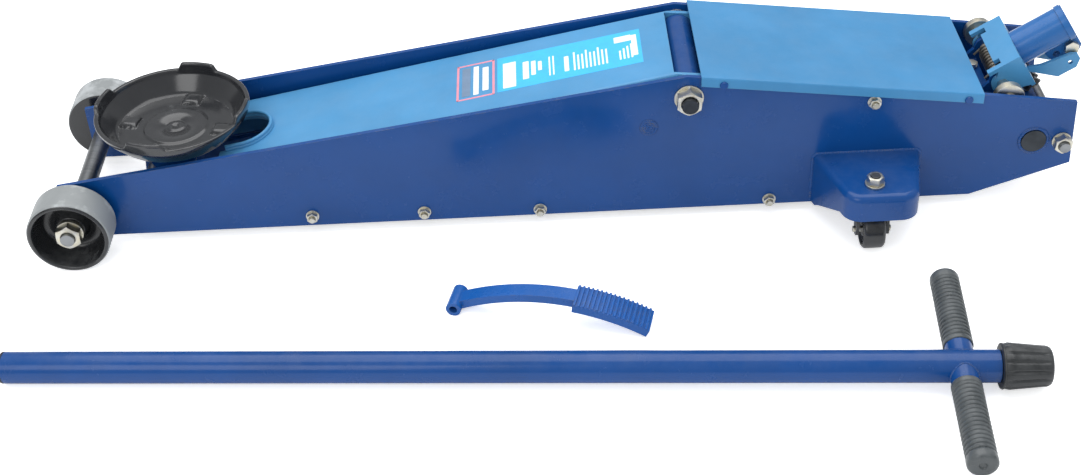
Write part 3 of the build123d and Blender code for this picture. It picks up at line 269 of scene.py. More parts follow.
def between(tree, share, first, second):
    return node(tree, "ShaderNodeMix", {"data_type": "FLOAT"}, i0=share,
                i2=first, i3=second).outputs[0]


def scaled_colour(colour, factor):
    return tuple(min(1.0, channel * factor) for channel in colour)


def surface(name):
    """A material with its Principled shader, emptied of defaults."""
    material = bpy.data.materials.new(name)
    material.use_nodes = True
    tree = material.node_tree
    return material, tree, tree.nodes["Principled BSDF"]


def bump(tree, shader, height, strength, depth):
    made = node(tree, "ShaderNodeBump", Strength=strength, Distance=depth, Height=height)
    tree.links.new(made.outputs[0], shader.inputs["Normal"])


BARE_STEEL = (0.30, 0.30, 0.30)
PRIMER = (0.10, 0.105, 0.11)
DUST = (0.42, 0.43, 0.43)


def enamel(name, colour, gloss=0.20, coat=0.15, wear=0.75, dust=0.06):
    """Glossy enamel over steel: orange peel, faded patches, chipped edges and a little dust."""
    material, tree, shader = surface(name)
    faded = effect(tree, "Patches", Scale=9.0, From=0.35, To=0.7)
    smudge = effect(tree, "Patches", Scale=34.0, From=0.45, To=0.72)
    chips = effect(tree, "Edge wear", Radius=0.0016, Amount=wear, Scale=85.0)
    dusty = effect(tree, "Settled dust", Amount=dust, Scale=26.0)
    paint = blended(tree, faded, colour, scaled_colour(colour, 1.18))
    chipped = blended(tree, chips, paint, PRIMER)
    tree.links.new(blended(tree, dusty, chipped, DUST), shader.inputs["Base Color"])
    rough = between(tree, smudge, gloss, gloss + 0.12)
    tree.links.new(between(tree, chips, rough, 0.5), shader.inputs["Roughness"])
    shader.inputs["Coat Weight"].default_value = coat
    shader.inputs["Coat Roughness"].default_value = 0.08
    shader.inputs["Specular IOR Level"].default_value = 0.30
    bump(tree, shader, effect(tree, "Surface grain", Scale=330.0, Fine_Share=0.15), 0.16, 0.0004)
    return material


def plated(name, colour, tint, rough=0.30):
    """Zinc plating: cloudy, a little yellow in places, with dull rubbed edges."""
    material, tree, shader = surface(name)
    cloudy = effect(tree, "Patches", Scale=120.0, From=0.35, To=0.7)
    rubbed = effect(tree, "Edge wear", Radius=0.0008, Amount=0.8, Scale=240.0)
    clouded = blended(tree, cloudy, colour, tint)
    tree.links.new(blended(tree, rubbed, clouded, scaled_colour(colour, 1.25)),
                   shader.inputs["Base Color"])
    tree.links.new(between(tree, cloudy, rough, rough + 0.16), shader.inputs["Roughness"])
    shader.inputs["Metallic"].default_value = 1.0
    bump(tree, shader, effect(tree, "Surface grain", Scale=900.0, Fine_Share=0.5), 0.12, 0.0002)
    return material


def turned_steel(name, colour, rough, streak):
    """Bare steel with fine lathe marks round it and darker oxide patches."""
    material, tree, shader = surface(name)
    oxide = effect(tree, "Patches", Scale=45.0, From=0.42, To=0.7)
    marks = effect(tree, "Patches", Scale=40.0, From=0.3, To=0.7, Stretch=streak)
    tone = blended(tree, oxide, colour, scaled_colour(colour, 0.62))
    tree.links.new(blended(tree, marks, tone, scaled_colour(colour, 1.15)),
                   shader.inputs["Base Color"])
    tree.links.new(between(tree, oxide, rough, rough + 0.18), shader.inputs["Roughness"])
    shader.inputs["Metallic"].default_value = 1.0
    bump(tree, shader, marks, 0.10, 0.0002)
    return material


def casting(name, colour, worn, worn_from, rough=0.30, grain=0.5, coat=0.35, dust=0.16):
    """Black enamel on a sand casting, with the skin of the mould and grey worn places."""
    material, tree, shader = surface(name)
    rubbed = effect(tree, "Patches", Scale=24.0, From=worn_from, To=worn_from + 0.12)
    chips = effect(tree, "Edge wear", Radius=0.002, Amount=0.9, Scale=70.0)
    dusty = effect(tree, "Settled dust", Amount=dust, Scale=40.0)
    skin = blended(tree, rubbed, colour, worn)
    edged = blended(tree, chips, skin, BARE_STEEL)
    tree.links.new(blended(tree, dusty, edged, DUST), shader.inputs["Base Color"])
    tree.links.new(between(tree, rubbed, rough, rough + 0.2), shader.inputs["Roughness"])
    shader.inputs["Coat Weight"].default_value = coat
    shader.inputs["Coat Roughness"].default_value = 0.18
    bump(tree, shader, effect(tree, "Surface grain", Scale=420.0, Fine_Share=0.45), grain, 0.0004)
    return material


def moulded(name, colour, rough, grain):
    """Moulded plastic or rubber: fine grain, handling shine and settled dust."""
    material, tree, shader = surface(name)
    handled = effect(tree, "Patches", Scale=30.0, From=0.4, To=0.68)
    scuffed = effect(tree, "Edge wear", Radius=0.0012, Amount=0.5, Scale=110.0)
    dusty = effect(tree, "Settled dust", Amount=0.14, Scale=60.0)
    tone = blended(tree, handled, colour, scaled_colour(colour, 1.35))
    edged = blended(tree, scuffed, tone, scaled_colour(colour, 2.2))
    tree.links.new(blended(tree, dusty, edged, DUST), shader.inputs["Base Color"])
    tree.links.new(between(tree, handled, rough, rough + 0.15), shader.inputs["Roughness"])
    bump(tree, shader, effect(tree, "Surface grain", Scale=700.0, Fine_Share=0.5), grain, 0.0002)
    return material


def printed(name, colour):
    """Ink on a glossy film, a little faded and scuffed."""
    material, tree, shader = surface(name)
    faded = effect(tree, "Patches", Scale=60.0, From=0.4, To=0.75)
    tree.links.new(blended(tree, faded, colour, scaled_colour(colour, 0.86)),
                   shader.inputs["Base Color"])
    tree.links.new(between(tree, faded, 0.28, 0.42), shader.inputs["Roughness"])
    bump(tree, shader, effect(tree, "Surface grain", Scale=300.0, Fine_Share=0.2), 0.05, 0.0002)
    return material


ROUND_AXLES = (0.02, 6.0, 0.02)
FINISHES = {
    "blue_paint": lambda c: enamel("Blue enamel", c.blue),
    # The arm and yoke enamel is lightened partly to paint the overhead reflection on their tops.
    "blue_bright_paint": lambda c: enamel("Bright blue enamel with painted reflection", c.bright_blue_with_reflection, 0.28, 0.10, 0.6),
    "pedal_paint": lambda c: enamel("Pedal enamel", c.pedal_blue, 0.26, 0.12, 0.7),
    "socket_paint": lambda c: enamel("Socket enamel", c.socket_blue, 0.24, 0.12, 0.6),
    # The cover enamel is lightened partly to paint the overhead reflection on its top.
    "cover_paint": lambda c: enamel("Cover enamel with painted reflection", c.cover_blue_with_reflection, 0.34, 0.08, 0.5),
    "zinc": lambda c: plated("Zinc plating", c.zinc, (0.66, 0.61, 0.47)),
    "steel": lambda c: turned_steel("Turned steel", c.steel, 0.34, ROUND_AXLES),
    "dark_steel": lambda c: turned_steel("Oiled steel", (0.050, 0.056, 0.064), 0.38, ROUND_AXLES),
    "ground_steel": lambda c: turned_steel("Ground steel", (0.66, 0.67, 0.69), 0.12,
                                           (6.0, 0.02, 0.02)),
    "cast_black": lambda c: casting("Black casting", c.black, (0.05, 0.05, 0.055), 0.58),
    "saddle_black": lambda c: casting("Saddle enamel", (0.016, 0.017, 0.020), (0.05, 0.053, 0.057),
                                      0.60, 0.16, 0.08, 0.6, 0.03),
    "wheel_black": lambda c: casting("Wheel enamel", c.black, (0.05, 0.052, 0.055),
                                     0.62, 0.24, 0.3),
    # The tread's pale grey stands partly for real wear and partly for a painted reflection: the
    # glossy black tread's pale highlights are put into its colour.
    "tread_wear_and_reflection": lambda c: casting("Tread wear and painted reflection", (0.24, 0.255, 0.26), (0.42, 0.44, 0.45),
                                    0.50, 0.42, 0.45, 0.05),
    "spring_steel": lambda c: turned_steel("Spring wire", (0.34, 0.31, 0.27), 0.34,
                                           (1.0, 1.0, 1.0)),
    "grip_grey": lambda c: moulded("Grip rubber", (0.060, 0.068, 0.072), 0.26, 0.12),
    "knob_black": lambda c: moulded("Knob plastic", (0.020, 0.022, 0.024), 0.32, 0.25),
    "plug_black": lambda c: moulded("Plug plastic", (0.012, 0.012, 0.014), 0.35, 0.3),
}
made_finishes = {}


def finish_for(slot):
    if slot not in made_finishes:
        made_finishes[slot] = FINISHES[slot](bpy.context.scene.jack_colours)
    return made_finishes[slot]


# ---- Pieces -----------------------------------------------------------------
def piece(name, mesh, body, slot, *nodes, material=None, smooth=SHARP):
    """Puts a finished mesh in the scene, on its body and in the place of its CAD nodes."""
    mesh.name = name
    if smooth is not None:
        mesh.shade_smooth()
        mesh.set_sharp_from_angle(angle=smooth)
    mesh.materials.clear()
    mesh.materials.append(material or finish_for(slot))
    made = bpy.data.objects.new(name, mesh)
    bpy.context.scene.collection.objects.link(made)
    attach(made, body)
    if nodes:
        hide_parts(*nodes)
    return made


def body_of(cad_node):
    return NODES[cad_node]["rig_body"]


def merged_copy(cad_node):
    """The CAD node's mesh with its loose triangles joined and its flat faces whole."""
    build = bmesh.new()
    build.from_mesh(NODES[cad_node].data)
    bmesh.ops.remove_doubles(build, verts=build.verts, dist=2e-6)
    bmesh.ops.dissolve_limit(
        build, angle_limit=math.radians(0.6), verts=build.verts, edges=build.edges)
    return build


def plain_mesh(build, name):
    mesh = bpy.data.meshes.new(name)
    build.to_mesh(mesh)
    build.free()
    return mesh


def with_modifiers(mesh, name, setups):
    """The mesh after the modifiers, as a plain mesh."""
    holder = bpy.data.objects.new(name, mesh)
    bpy.context.scene.collection.objects.link(holder)
    for kind, settings in setups:
        modifier = holder.modifiers.new(kind.title(), kind)
        for key, value in settings.items():
            setattr(modifier, key, value)
    view = bpy.context.evaluated_depsgraph_get()
    result = bpy.data.meshes.new_from_object(holder.evaluated_get(view))
    holder.modifiers.clear()
    bpy.data.objects.remove(holder)
    return result


def softened(cad_node, width, segments=2, finish=None):
    """The CAD node's own shape with its sharp edges rounded as a press or a file leaves them."""
    mesh = plain_mesh(merged_copy(cad_node), cad_node)
    round_edges = {"width": width, "segments": segments, "limit_method": "ANGLE",
                   "angle_limit": math.radians(40), "use_clamp_overlap": True}
    mesh.shade_smooth()
    level = {"mode": "FACE_AREA", "weight": 80, "keep_sharp": True}
    finished = with_modifiers(mesh, cad_node, [("BEVEL", round_edges), ("WEIGHTED_NORMAL", level)])
    return piece(f"{cad_node}_finished", finished, body_of(cad_node), SLOT_OF[cad_node], cad_node,
                 material=finish and finish_for(finish), smooth=None)


def solids_of(cad_node):
    """The boxes of a node's separate solids, as (low, high) corners."""
    build = bmesh.new()
    build.from_mesh(NODES[cad_node].data)
    bmesh.ops.remove_doubles(build, verts=build.verts, dist=2e-6)
    left = set(build.verts)
    boxes = []
    while left:
        reached = [left.pop()]
        for vert in reached:
            for edge in vert.link_edges:
                other = edge.other_vert(vert)
                if other in left:
                    left.remove(other)
                    reached.append(other)
        points = [vert.co for vert in reached]
        low = Vector([min(point[axis] for point in points) for axis in range(3)])
        high = Vector([max(point[axis] for point in points) for axis in range(3)])
        boxes.append((low, high))
    build.free()
    return sorted(boxes, key=lambda box: tuple(box[0]))


def outline(points, steps=4):
    """A closed outline from (first, second, rounding) corners, in millimetres, rounded."""
    rounded = []
    for index, (a, b, radius) in enumerate(points):
        here = Vector((a, b))
        if radius <= 0:
            rounded.append(here)
            continue
        before = Vector(points[index - 1][:2]) - here
        after = Vector(points[(index + 1) % len(points)][:2]) - here
        start = here + before.normalized() * min(radius, before.length / 2.01)
        end = here + after.normalized() * min(radius, after.length / 2.01)
        for step in range(steps + 1):
            t = step / steps
            rounded.append(start * (1 - t) ** 2 + here * 2 * t * (1 - t) + end * t * t)
    return rounded


def turned_mesh(profile, base, axis, segments=96, change=None):
    """A closed outline of (radius, distance) points turned about an axis.
    change(radius, distance, angle) may shift each point, for claws, flutes and bumps."""
    turn = Vector(axis).normalized().to_track_quat("Z", "Y").to_matrix().to_4x4()
    place = Matrix.Translation(base) @ turn
    build = bmesh.new()
    rings = []
    for point in profile:
        radius, along = point
        if radius < 1e-6:
            rings.append([build.verts.new(place @ Vector((0, 0, along * MM)))])
            continue
        ring = []
        for step in range(segments):
            angle = 2 * math.pi * step / segments
            r, s = change(radius, along, angle) if change else (radius, along)
            local = Vector((r * math.cos(angle), r * math.sin(angle), s)) * MM
            ring.append(build.verts.new(place @ local))
        rings.append(ring)
    for index, ring in enumerate(rings):
        following = rings[(index + 1) % len(rings)]
        if len(ring) == 1 and len(following) == 1:
            continue
        for step in range(segments):
            nxt = (step + 1) % segments
            corners = [ring[step % len(ring)], following[step % len(following)],
                       following[nxt % len(following)], ring[nxt % len(ring)]]
            build.faces.new(list(dict.fromkeys(corners)))
    bmesh.ops.recalc_face_normals(build, faces=build.faces)
    return plain_mesh(build, "turned")


def joined(meshes, name):
    build = bmesh.new()
    for mesh in meshes:
        build.from_mesh(mesh)
    return plain_mesh(build, name)


def nut_mesh(flats, height, bore, facets=72):
    """A hexagon nut along Z with chamfered corners and a countersunk bore, in millimetres."""
    half = flats / 2
    build = bmesh.new()
    rings = []
    for kind in range(6):
        ring = []
        for step in range(facets):
            angle = 2 * math.pi * step / facets
            corner = half / math.cos((angle % (math.pi / 3)) - math.pi / 6)
            drop = max(0.0, corner - half * 0.96) * math.tan(math.radians(32))
            radius, up = [
                (bore, 0.0), (corner, 0.0), (corner, height - drop),
                (half * 0.96, height), (bore + 0.9, height), (bore, height - 0.9),
            ][kind]
            ring.append(build.verts.new(
                Vector((radius * math.cos(angle), radius * math.sin(angle), up)) * MM))
        rings.append(ring)
    for index, ring in enumerate(rings):
        following = rings[(index + 1) % len(rings)]
        for step in range(facets):
            nxt = (step + 1) % facets
            build.faces.new([ring[step], ring[nxt], following[nxt], following[step]])
    bmesh.ops.recalc_face_normals(build, faces=build.faces)
    return plain_mesh(build, "nut")


def disc_mesh(outer, bore, height, edge=0.5, segments=64):
    """A washer, collar or ring along Z, in millimetres."""
    profile = outline([(bore, 0, 0), (outer, 0, edge), (outer, height, edge), (bore, height, edge)])
    return turned_mesh(profile, Vector(), (0, 0, 1), segments)


# ---- Geometry Nodes for what repeats ----------------------------------------
def geometry_tree(name, inputs):
    tree = bpy.data.node_groups.new(name, "GeometryNodeTree")
    tree.is_modifier = True
    for socket, kind, default in inputs:
        made = tree.interface.new_socket(name=socket, in_out="INPUT", socket_type=kind)
        if default is not None:
            made.default_value = default
    tree.interface.new_socket(name="Geometry", in_out="OUTPUT", socket_type="NodeSocketGeometry")
    return tree, tree.nodes.new("NodeGroupInput"), tree.nodes.new("NodeGroupOutput")


def repeat_tree():
    """One piece set at each place, turned along and across, with a random turn and size."""
    tree, given, out = geometry_tree("Repeated piece", [
        ("Geometry", "NodeSocketGeometry", None), ("Places", "NodeSocketObject", None),
        ("Turn Spread", "NodeSocketFloat", 0.0), ("Size Spread", "NodeSocketFloat", 0.0),
        ("Seed", "NodeSocketInt", 7), ("Finish", "NodeSocketMaterial", None)])
    places = node(tree, "GeometryNodeObjectInfo", i0=given.outputs["Places"])
    along = node(tree, "GeometryNodeInputNamedAttribute", {"data_type": "FLOAT_VECTOR"}, i0="along")
    across = node(tree, "GeometryNodeInputNamedAttribute", {"data_type": "FLOAT_VECTOR"},
                  i0="across")
    upright = node(tree, "FunctionNodeAlignRotationToVector", {"axis": "Z"},
                   Vector=along.outputs[0])
    faced = node(tree, "FunctionNodeAlignRotationToVector", {"axis": "X", "pivot_axis": "Z"},
                 Rotation=upright.outputs[0], Vector=across.outputs[0])
    down = node(tree, "ShaderNodeMath", {"operation": "MULTIPLY"},
                i0=given.outputs["Turn Spread"], i1=-1.0)
    turn = node(tree, "FunctionNodeRandomValue", {"data_type": "FLOAT"}, i2=down.outputs[0],
                i3=given.outputs["Turn Spread"], Seed=given.outputs["Seed"])
    spin = node(tree, "FunctionNodeAxisAngleToRotation", Axis=(0, 0, 1), Angle=turn.outputs[1])
    turned = node(tree, "FunctionNodeRotateRotation", {"rotation_space": "LOCAL"},
                  i0=faced.outputs[0], i1=spin.outputs[0])
    least = node(tree, "ShaderNodeMath", {"operation": "SUBTRACT"},
                 i0=1.0, i1=given.outputs["Size Spread"])
    most = node(tree, "ShaderNodeMath", {"operation": "ADD"},
                i0=1.0, i1=given.outputs["Size Spread"])
    size = node(tree, "FunctionNodeRandomValue", {"data_type": "FLOAT"}, i2=least.outputs[0],
                i3=most.outputs[0], Seed=given.outputs["Seed"])
    instances = node(tree, "GeometryNodeInstanceOnPoints", Points=places.outputs["Geometry"],
                     Instance=given.outputs["Geometry"], Rotation=turned.outputs[0],
                     Scale=size.outputs[1])
    real = node(tree, "GeometryNodeRealizeInstances", i0=instances.outputs[0])
    painted = node(tree, "GeometryNodeSetMaterial", Geometry=real.outputs[0],
                   Material=given.outputs["Finish"])
    tree.links.new(painted.outputs[0], out.inputs[0])
    return tree


def coil_tree():
    """A round-wire coil along Z that starts at the origin."""
    tree, given, out = geometry_tree("Wire coil", [
        ("Geometry", "NodeSocketGeometry", None), ("Coil Radius", "NodeSocketFloat", 0.01),
        ("Wire Radius", "NodeSocketFloat", 0.0015), ("Turns", "NodeSocketFloat", 10.0),
        ("Length", "NodeSocketFloat", 0.06), ("Finish", "NodeSocketMaterial", None)])
    line = node(tree, "GeometryNodeCurveSpiral", Resolution=28, Rotations=given.outputs["Turns"],
                Start_Radius=given.outputs["Coil Radius"], End_Radius=given.outputs["Coil Radius"],
                Height=given.outputs["Length"])
    wire = node(tree, "GeometryNodeCurvePrimitiveCircle", Resolution=10,
                Radius=given.outputs["Wire Radius"])
    coil = node(tree, "GeometryNodeCurveToMesh", Curve=line.outputs[0],
                Profile_Curve=wire.outputs[0], Fill_Caps=True)
    real = node(tree, "GeometryNodeRealizeInstances", i0=coil.outputs[0])
    painted = node(tree, "GeometryNodeSetMaterial", Geometry=real.outputs[0],
                   Material=given.outputs["Finish"])
    tree.links.new(painted.outputs[0], out.inputs[0])
    return tree


def grown(tree_name, maker, seed_mesh, values):
    """The plain mesh that a geometry tree makes from a seed mesh and its input values."""
    tree = bpy.data.node_groups.get(tree_name) or maker()
    holder = bpy.data.objects.new("grown", seed_mesh)
    bpy.context.scene.collection.objects.link(holder)
    modifier = holder.modifiers.new("Grown", "NODES")
    modifier.node_group = tree
    sockets = {item.name: item.identifier for item in tree.interface.items_tree
               if item.item_type == "SOCKET" and item.in_out == "INPUT"}
    for key, value in values.items():
        modifier[sockets[key]] = value
    view = bpy.context.evaluated_depsgraph_get()
    result = bpy.data.meshes.new_from_object(holder.evaluated_get(view))
    holder.modifiers.clear()
    bpy.data.objects.remove(holder)
    return result


def repeated(seed_mesh, places, slot, turn=0.0, size=0.0, seed=7):
    """A mesh of the seed piece at each (point, along, across)."""
    spots = bpy.data.meshes.new("places")
    spots.from_pydata([tuple(place[0]) for place in places], [], [])
    for name, column in (("along", 1), ("across", 2)):
        layer = spots.attributes.new(name, "FLOAT_VECTOR", "POINT")
        for index, place in enumerate(places):
            layer.data[index].vector = place[column]
    holder = bpy.data.objects.new("places", spots)
    bpy.context.scene.collection.objects.link(holder)
    result = grown("Repeated piece", repeat_tree, seed_mesh, {
        "Places": holder, "Turn Spread": turn, "Size Spread": size, "Seed": seed,
        "Finish": finish_for(slot)})
    bpy.data.objects.remove(holder)
    return result


def coil_mesh(radius, wire, turns, length, base, axis):
    """A coil spring from a base point along an axis, in metres."""
    mesh = grown("Wire coil", coil_tree, bpy.data.meshes.new("coil"), {
        "Coil Radius": radius, "Wire Radius": wire, "Turns": float(turns), "Length": length,
        "Finish": finish_for("spring_steel")})
    turn = Vector(axis).normalized().to_track_quat("Z", "Y").to_matrix().to_4x4()
    mesh.transform(Matrix.Translation(base) @ turn)
    return mesh


def wire_mesh(points, radius, sides=10):
    """A bent wire or a rolled lip of round section along points, with closed ends."""
    build = bmesh.new()
    rings = []
    count = len(points)
    normal = None
    for index, point in enumerate(points):
        back = points[max(index - 1, 0)]
        ahead = points[min(index + 1, count - 1)]
        run = (ahead - back).normalized()
        if normal is None:
            normal = run.orthogonal().normalized()
        normal = (normal - run * normal.dot(run)).normalized()
        other = run.cross(normal)
        ring = [build.verts.new(point + (normal * math.cos(2 * math.pi * k / sides)
                                         + other * math.sin(2 * math.pi * k / sides)) * radius)
                for k in range(sides)]
        rings.append(ring)
    for first, second in zip(rings, rings[1:]):
        for k in range(sides):
            build.faces.new([first[k], first[(k + 1) % sides],
                             second[(k + 1) % sides], second[k]])
    build.faces.new(rings[0])
    build.faces.new(rings[-1])
    bmesh.ops.recalc_face_normals(build, faces=build.faces)
    return plain_mesh(build, "wire")


def bead_places(points, outward):
    """Places for weld ripples along points. outward gives the side that each faces."""
    places = []
    for index, point in enumerate(points):
        back = points[max(index - 1, 0)]
        ahead = points[min(index + 1, len(points) - 1)]
        run = (ahead - back).normalized()
        facing = outward(point) if callable(outward) else Vector(outward)
        places.append((point, facing.normalized(), run))
    return places


def ripple_mesh(radius):
    """One overlapping ripple of a weld bead, flattened along the run."""
    profile = [(0.0, radius * 0.72), (radius * 0.55, radius * 0.58), (radius * 0.9, radius * 0.28),
               (radius, 0.0), (radius * 0.8, -radius * 0.35), (0.0, -radius * 0.5)]
    return turned_mesh(profile, Vector(), (0, 0, 1), 10)


def walked(corners, step):
    """Points a step apart along straight runs between the corners."""
    points = [corners[0]]
    for start, end in zip(corners, corners[1:]):
        count = max(1, round((end - start).length / step))
        points += [start.lerp(end, k / count) for k in range(1, count + 1)]
    return points


def ring_points(centre, axis, radius, step):
    turn = Vector(axis).normalized().to_track_quat("Z", "Y").to_matrix()
    count = max(12, round(2 * math.pi * radius / step))
    return [centre + turn @ Vector((radius * math.cos(2 * math.pi * k / count),
                                    radius * math.sin(2 * math.pi * k / count), 0))
            for k in range(count)]


def weld(name, runs, radius, body, slot="blue_paint"):
    """A painted weld bead on a body, made of ripples along runs of places."""
    places = [place for run in runs for place in run]
    mesh = repeated(ripple_mesh(radius / MM), places, slot, turn=0.5, size=0.12)
    return piece(name, mesh, body, slot)


def side_stacks(cad_node):
    """Inner centre and outward direction of each washer and nut on the jack's two sides."""
    stacks = {}
    for low, high in solids_of(cad_node):
        side = 1.0 if (low.y + high.y) / 2 > JACK.y else -1.0
        inner = low.y if side > 0 else high.y
        base = Vector(((low.x + high.x) / 2, inner, (low.z + high.z) / 2))
        key = (round(base.x, 3), round(base.z, 3), side)
        if key not in stacks or inner * side < stacks[key][0].y * side:
            stacks[key] = (base, Vector((0, side, 0)), Vector((1, 0, 0)))
    return list(stacks.values())


def fasteners(cad_node, flats, bore, washer_radius, thin, tall, name, spread):
    """Chamfered nuts with their washers in the place of a node's plain ones."""
    washers = side_stacks(cad_node)
    nuts = [(base + outward * thin * MM, outward, across) for base, outward, across in washers]
    nut = nut_mesh(flats, tall, bore)
    washer = disc_mesh(washer_radius, bore, thin, min(0.6, thin / 3))
    piece(f"{name}_nuts", repeated(nut, nuts, "zinc", turn=spread), body_of(cad_node),
          "zinc", cad_node)
    piece(f"{name}_washers", repeated(washer, washers, "zinc"), body_of(cad_node),
          "zinc", cad_node)


class JackOperator(bpy.types.Operator):
    """Common base of the jack's operators"""
    bl_options = {"REGISTER"}

    @property
    def sizes(self):
        return bpy.context.scene.jack_sizes


class JACK_OT_chassis(JackOperator):
    """Side plates, ties, rear tie, trunnion ends and the cover of the power unit"""
    bl_idname = "jack.chassis"
    bl_label = "Chassis"

    def execute(self, context):
        sizes = self.sizes
        for cad_node in ("side_plate_right", "side_plate_left", "power_unit_cover"):
            softened(cad_node, sizes.plate_edge, 3)
        for cad_node in ("tie_bolts", "rear_tie_rod", "spacer_tubes"):
            softened(cad_node, sizes.small_edge)
        softened("trunnion_shafts", sizes.small_edge, finish="dark_steel")
        softened("cover_screws", sizes.small_edge)
        fasteners("tie_nuts", 13.0, 4.0, 8.75, 1.6, 6.4, "tie", sizes.nut_spread)
        fasteners("rear_tie_nuts", 21.0, 7.0, 12.5, 2.5, 11.5, "rear_tie", sizes.nut_spread)
        fasteners("main_pivot_nuts", 30.0, 10.5, 18.5, 3.0, 14.0, "main_pivot", sizes.nut_spread)
        softened("main_pivot_shaft", sizes.small_edge, finish="dark_steel")
        softened("rod_anchor_shaft", sizes.small_edge)
        return {"FINISHED"}


class JACK_OT_welds(JackOperator):
    """Painted weld beads on the chassis"""
    bl_idname = "jack.welds"
    bl_label = "Chassis welds"

    def execute(self, context):
        bead = self.sizes.bead
        runs = []
        for side, hand in ((-1, "right"), (1, "left")):
            low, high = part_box(f"caster_bracket_{hand}")
            face = JACK.y + side * PLATE_OUTER * MM
            top = high.z
            corners = [Vector((low.x, face, low.z + 3 * MM)), Vector((low.x, face, top - 4 * MM)),
                       Vector((low.x + 4 * MM, face, top)), Vector((high.x - 4 * MM, face, top)),
                       Vector((high.x, face, top - 4 * MM)), Vector((high.x, face, low.z + 3 * MM))]
            facing = Vector((0, side, 0.9))
            runs.append(bead_places(walked(corners, bead * 0.8), facing))
            end_low, end_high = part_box("trunnion_shafts")
            trunnion = Vector(((end_low.x + end_high.x) / 2, face, (end_low.z + end_high.z) / 2))
            ring = ring_points(trunnion, (0, 1, 0), 18.0 * MM, bead * 0.8)
            runs.append(bead_places(ring, Vector((0, side, 0))))
            anchor_low, anchor_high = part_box("rod_anchor_shaft")
            anchor = Vector(((anchor_low.x + anchor_high.x) / 2, face,
                             (anchor_low.z + anchor_high.z) / 2))
            for radius in (9.5, 6.0, 2.5):
                ring = ring_points(anchor, (0, 1, 0), radius * MM, bead * 0.8)
                runs.append(bead_places(ring, Vector((0, side, 0))))
        weld("chassis_welds", runs, bead, "root")
        return {"FINISHED"}


class JACK_OT_front_wheels(JackOperator):
    """Front axle and its two dished cast wheels, collars and nuts"""
    bl_idname = "jack.front_wheels"
    bl_label = "Front wheels"

    def execute(self, context):
        softened("front_axle", self.sizes.small_edge)
        fasteners("axle_nuts", 30.0, 9.0, 17.5, 6.4, 12.0, "axle", self.sizes.nut_spread)
        for side, hand in ((-1, "right"), (1, "left")):
            low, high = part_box(f"front_wheel_{hand}")
            radius = (high.z - low.z) / 2 / MM
            inner = 0.0
            outer = (high.y - low.y) / MM
            bore = 12.35
            hub = outer - 20.2
            profile = outline([
                (bore, inner, 0.6), (radius - 1.0, inner, 3.0), (radius, inner + 3.0, 2.0),
                (radius, outer - 3.0, 2.5), (radius - 3.2, outer, 2.5),
                (radius - 6.5, outer, 2.0), (radius - 8.4, outer - 6.0, 3.0),
                (radius - 11.0, inner + 18.0, 6.0), (radius - 17.0, inner + 10.5, 8.0),
                (23.0, inner + 12.0, 8.0), (19.2, hub - 4.0, 3.0), (18.2, hub, 1.6),
                (bore, hub, 0.8)])
            centre = Vector(((low.x + high.x) / 2, high.y if side < 0 else low.y,
                             (low.z + high.z) / 2))
            wheel = turned_mesh(profile, centre, (0, side, 0), 144)
            piece(f"front_wheel_{hand}_cast", wheel, f"front_wheel_{hand}_body",
                  "wheel_black", f"front_wheel_{hand}")
            # Faces at the tread get the pale grey, which is partly wear and partly a painted
            # reflection of the glossy black tread.
            wheel.materials.append(finish_for("tread_wear_and_reflection"))
            for face in wheel.polygons:
                off_axle = face.center - centre
                if math.hypot(off_axle.x, off_axle.z) > (radius - 1.6) * MM:
                    face.material_index = 1
        return {"FINISHED"}


def arm_point(along, across, lift=0.0):
    """A point on the arm's top sheet, lifted square off it."""
    base = jack(along, across, ARM_HEIGHT_AT[1] + (along - ARM_HEIGHT_AT[0]) * ARM_SLOPE)
    return base + Vector((-ARM_SLOPE, 0, 1)).normalized() * lift


def film(rows, lift):
    """Thin printed rectangles on the arm's top sheet, from (start, end, low, high) rows."""
    build = bmesh.new()
    for start, end, low, high in rows:
        corners = outline([
            (start, low, 1.2), (end, low, 1.2), (end, high, 1.2), (start, high, 1.2)])
        upper = [build.verts.new(arm_point(a, b, lift * MM)) for a, b in corners]
        lower = [build.verts.new(arm_point(a, b, -0.3 * MM)) for a, b in corners]
        build.faces.new(upper)
        build.faces.new(list(reversed(lower)))
        count = len(corners)
        for k in range(count):
            build.faces.new([upper[k], lower[k], lower[(k + 1) % count], upper[(k + 1) % count]])
    bmesh.ops.recalc_face_normals(build, faces=build.faces)
    return plain_mesh(build, "film")


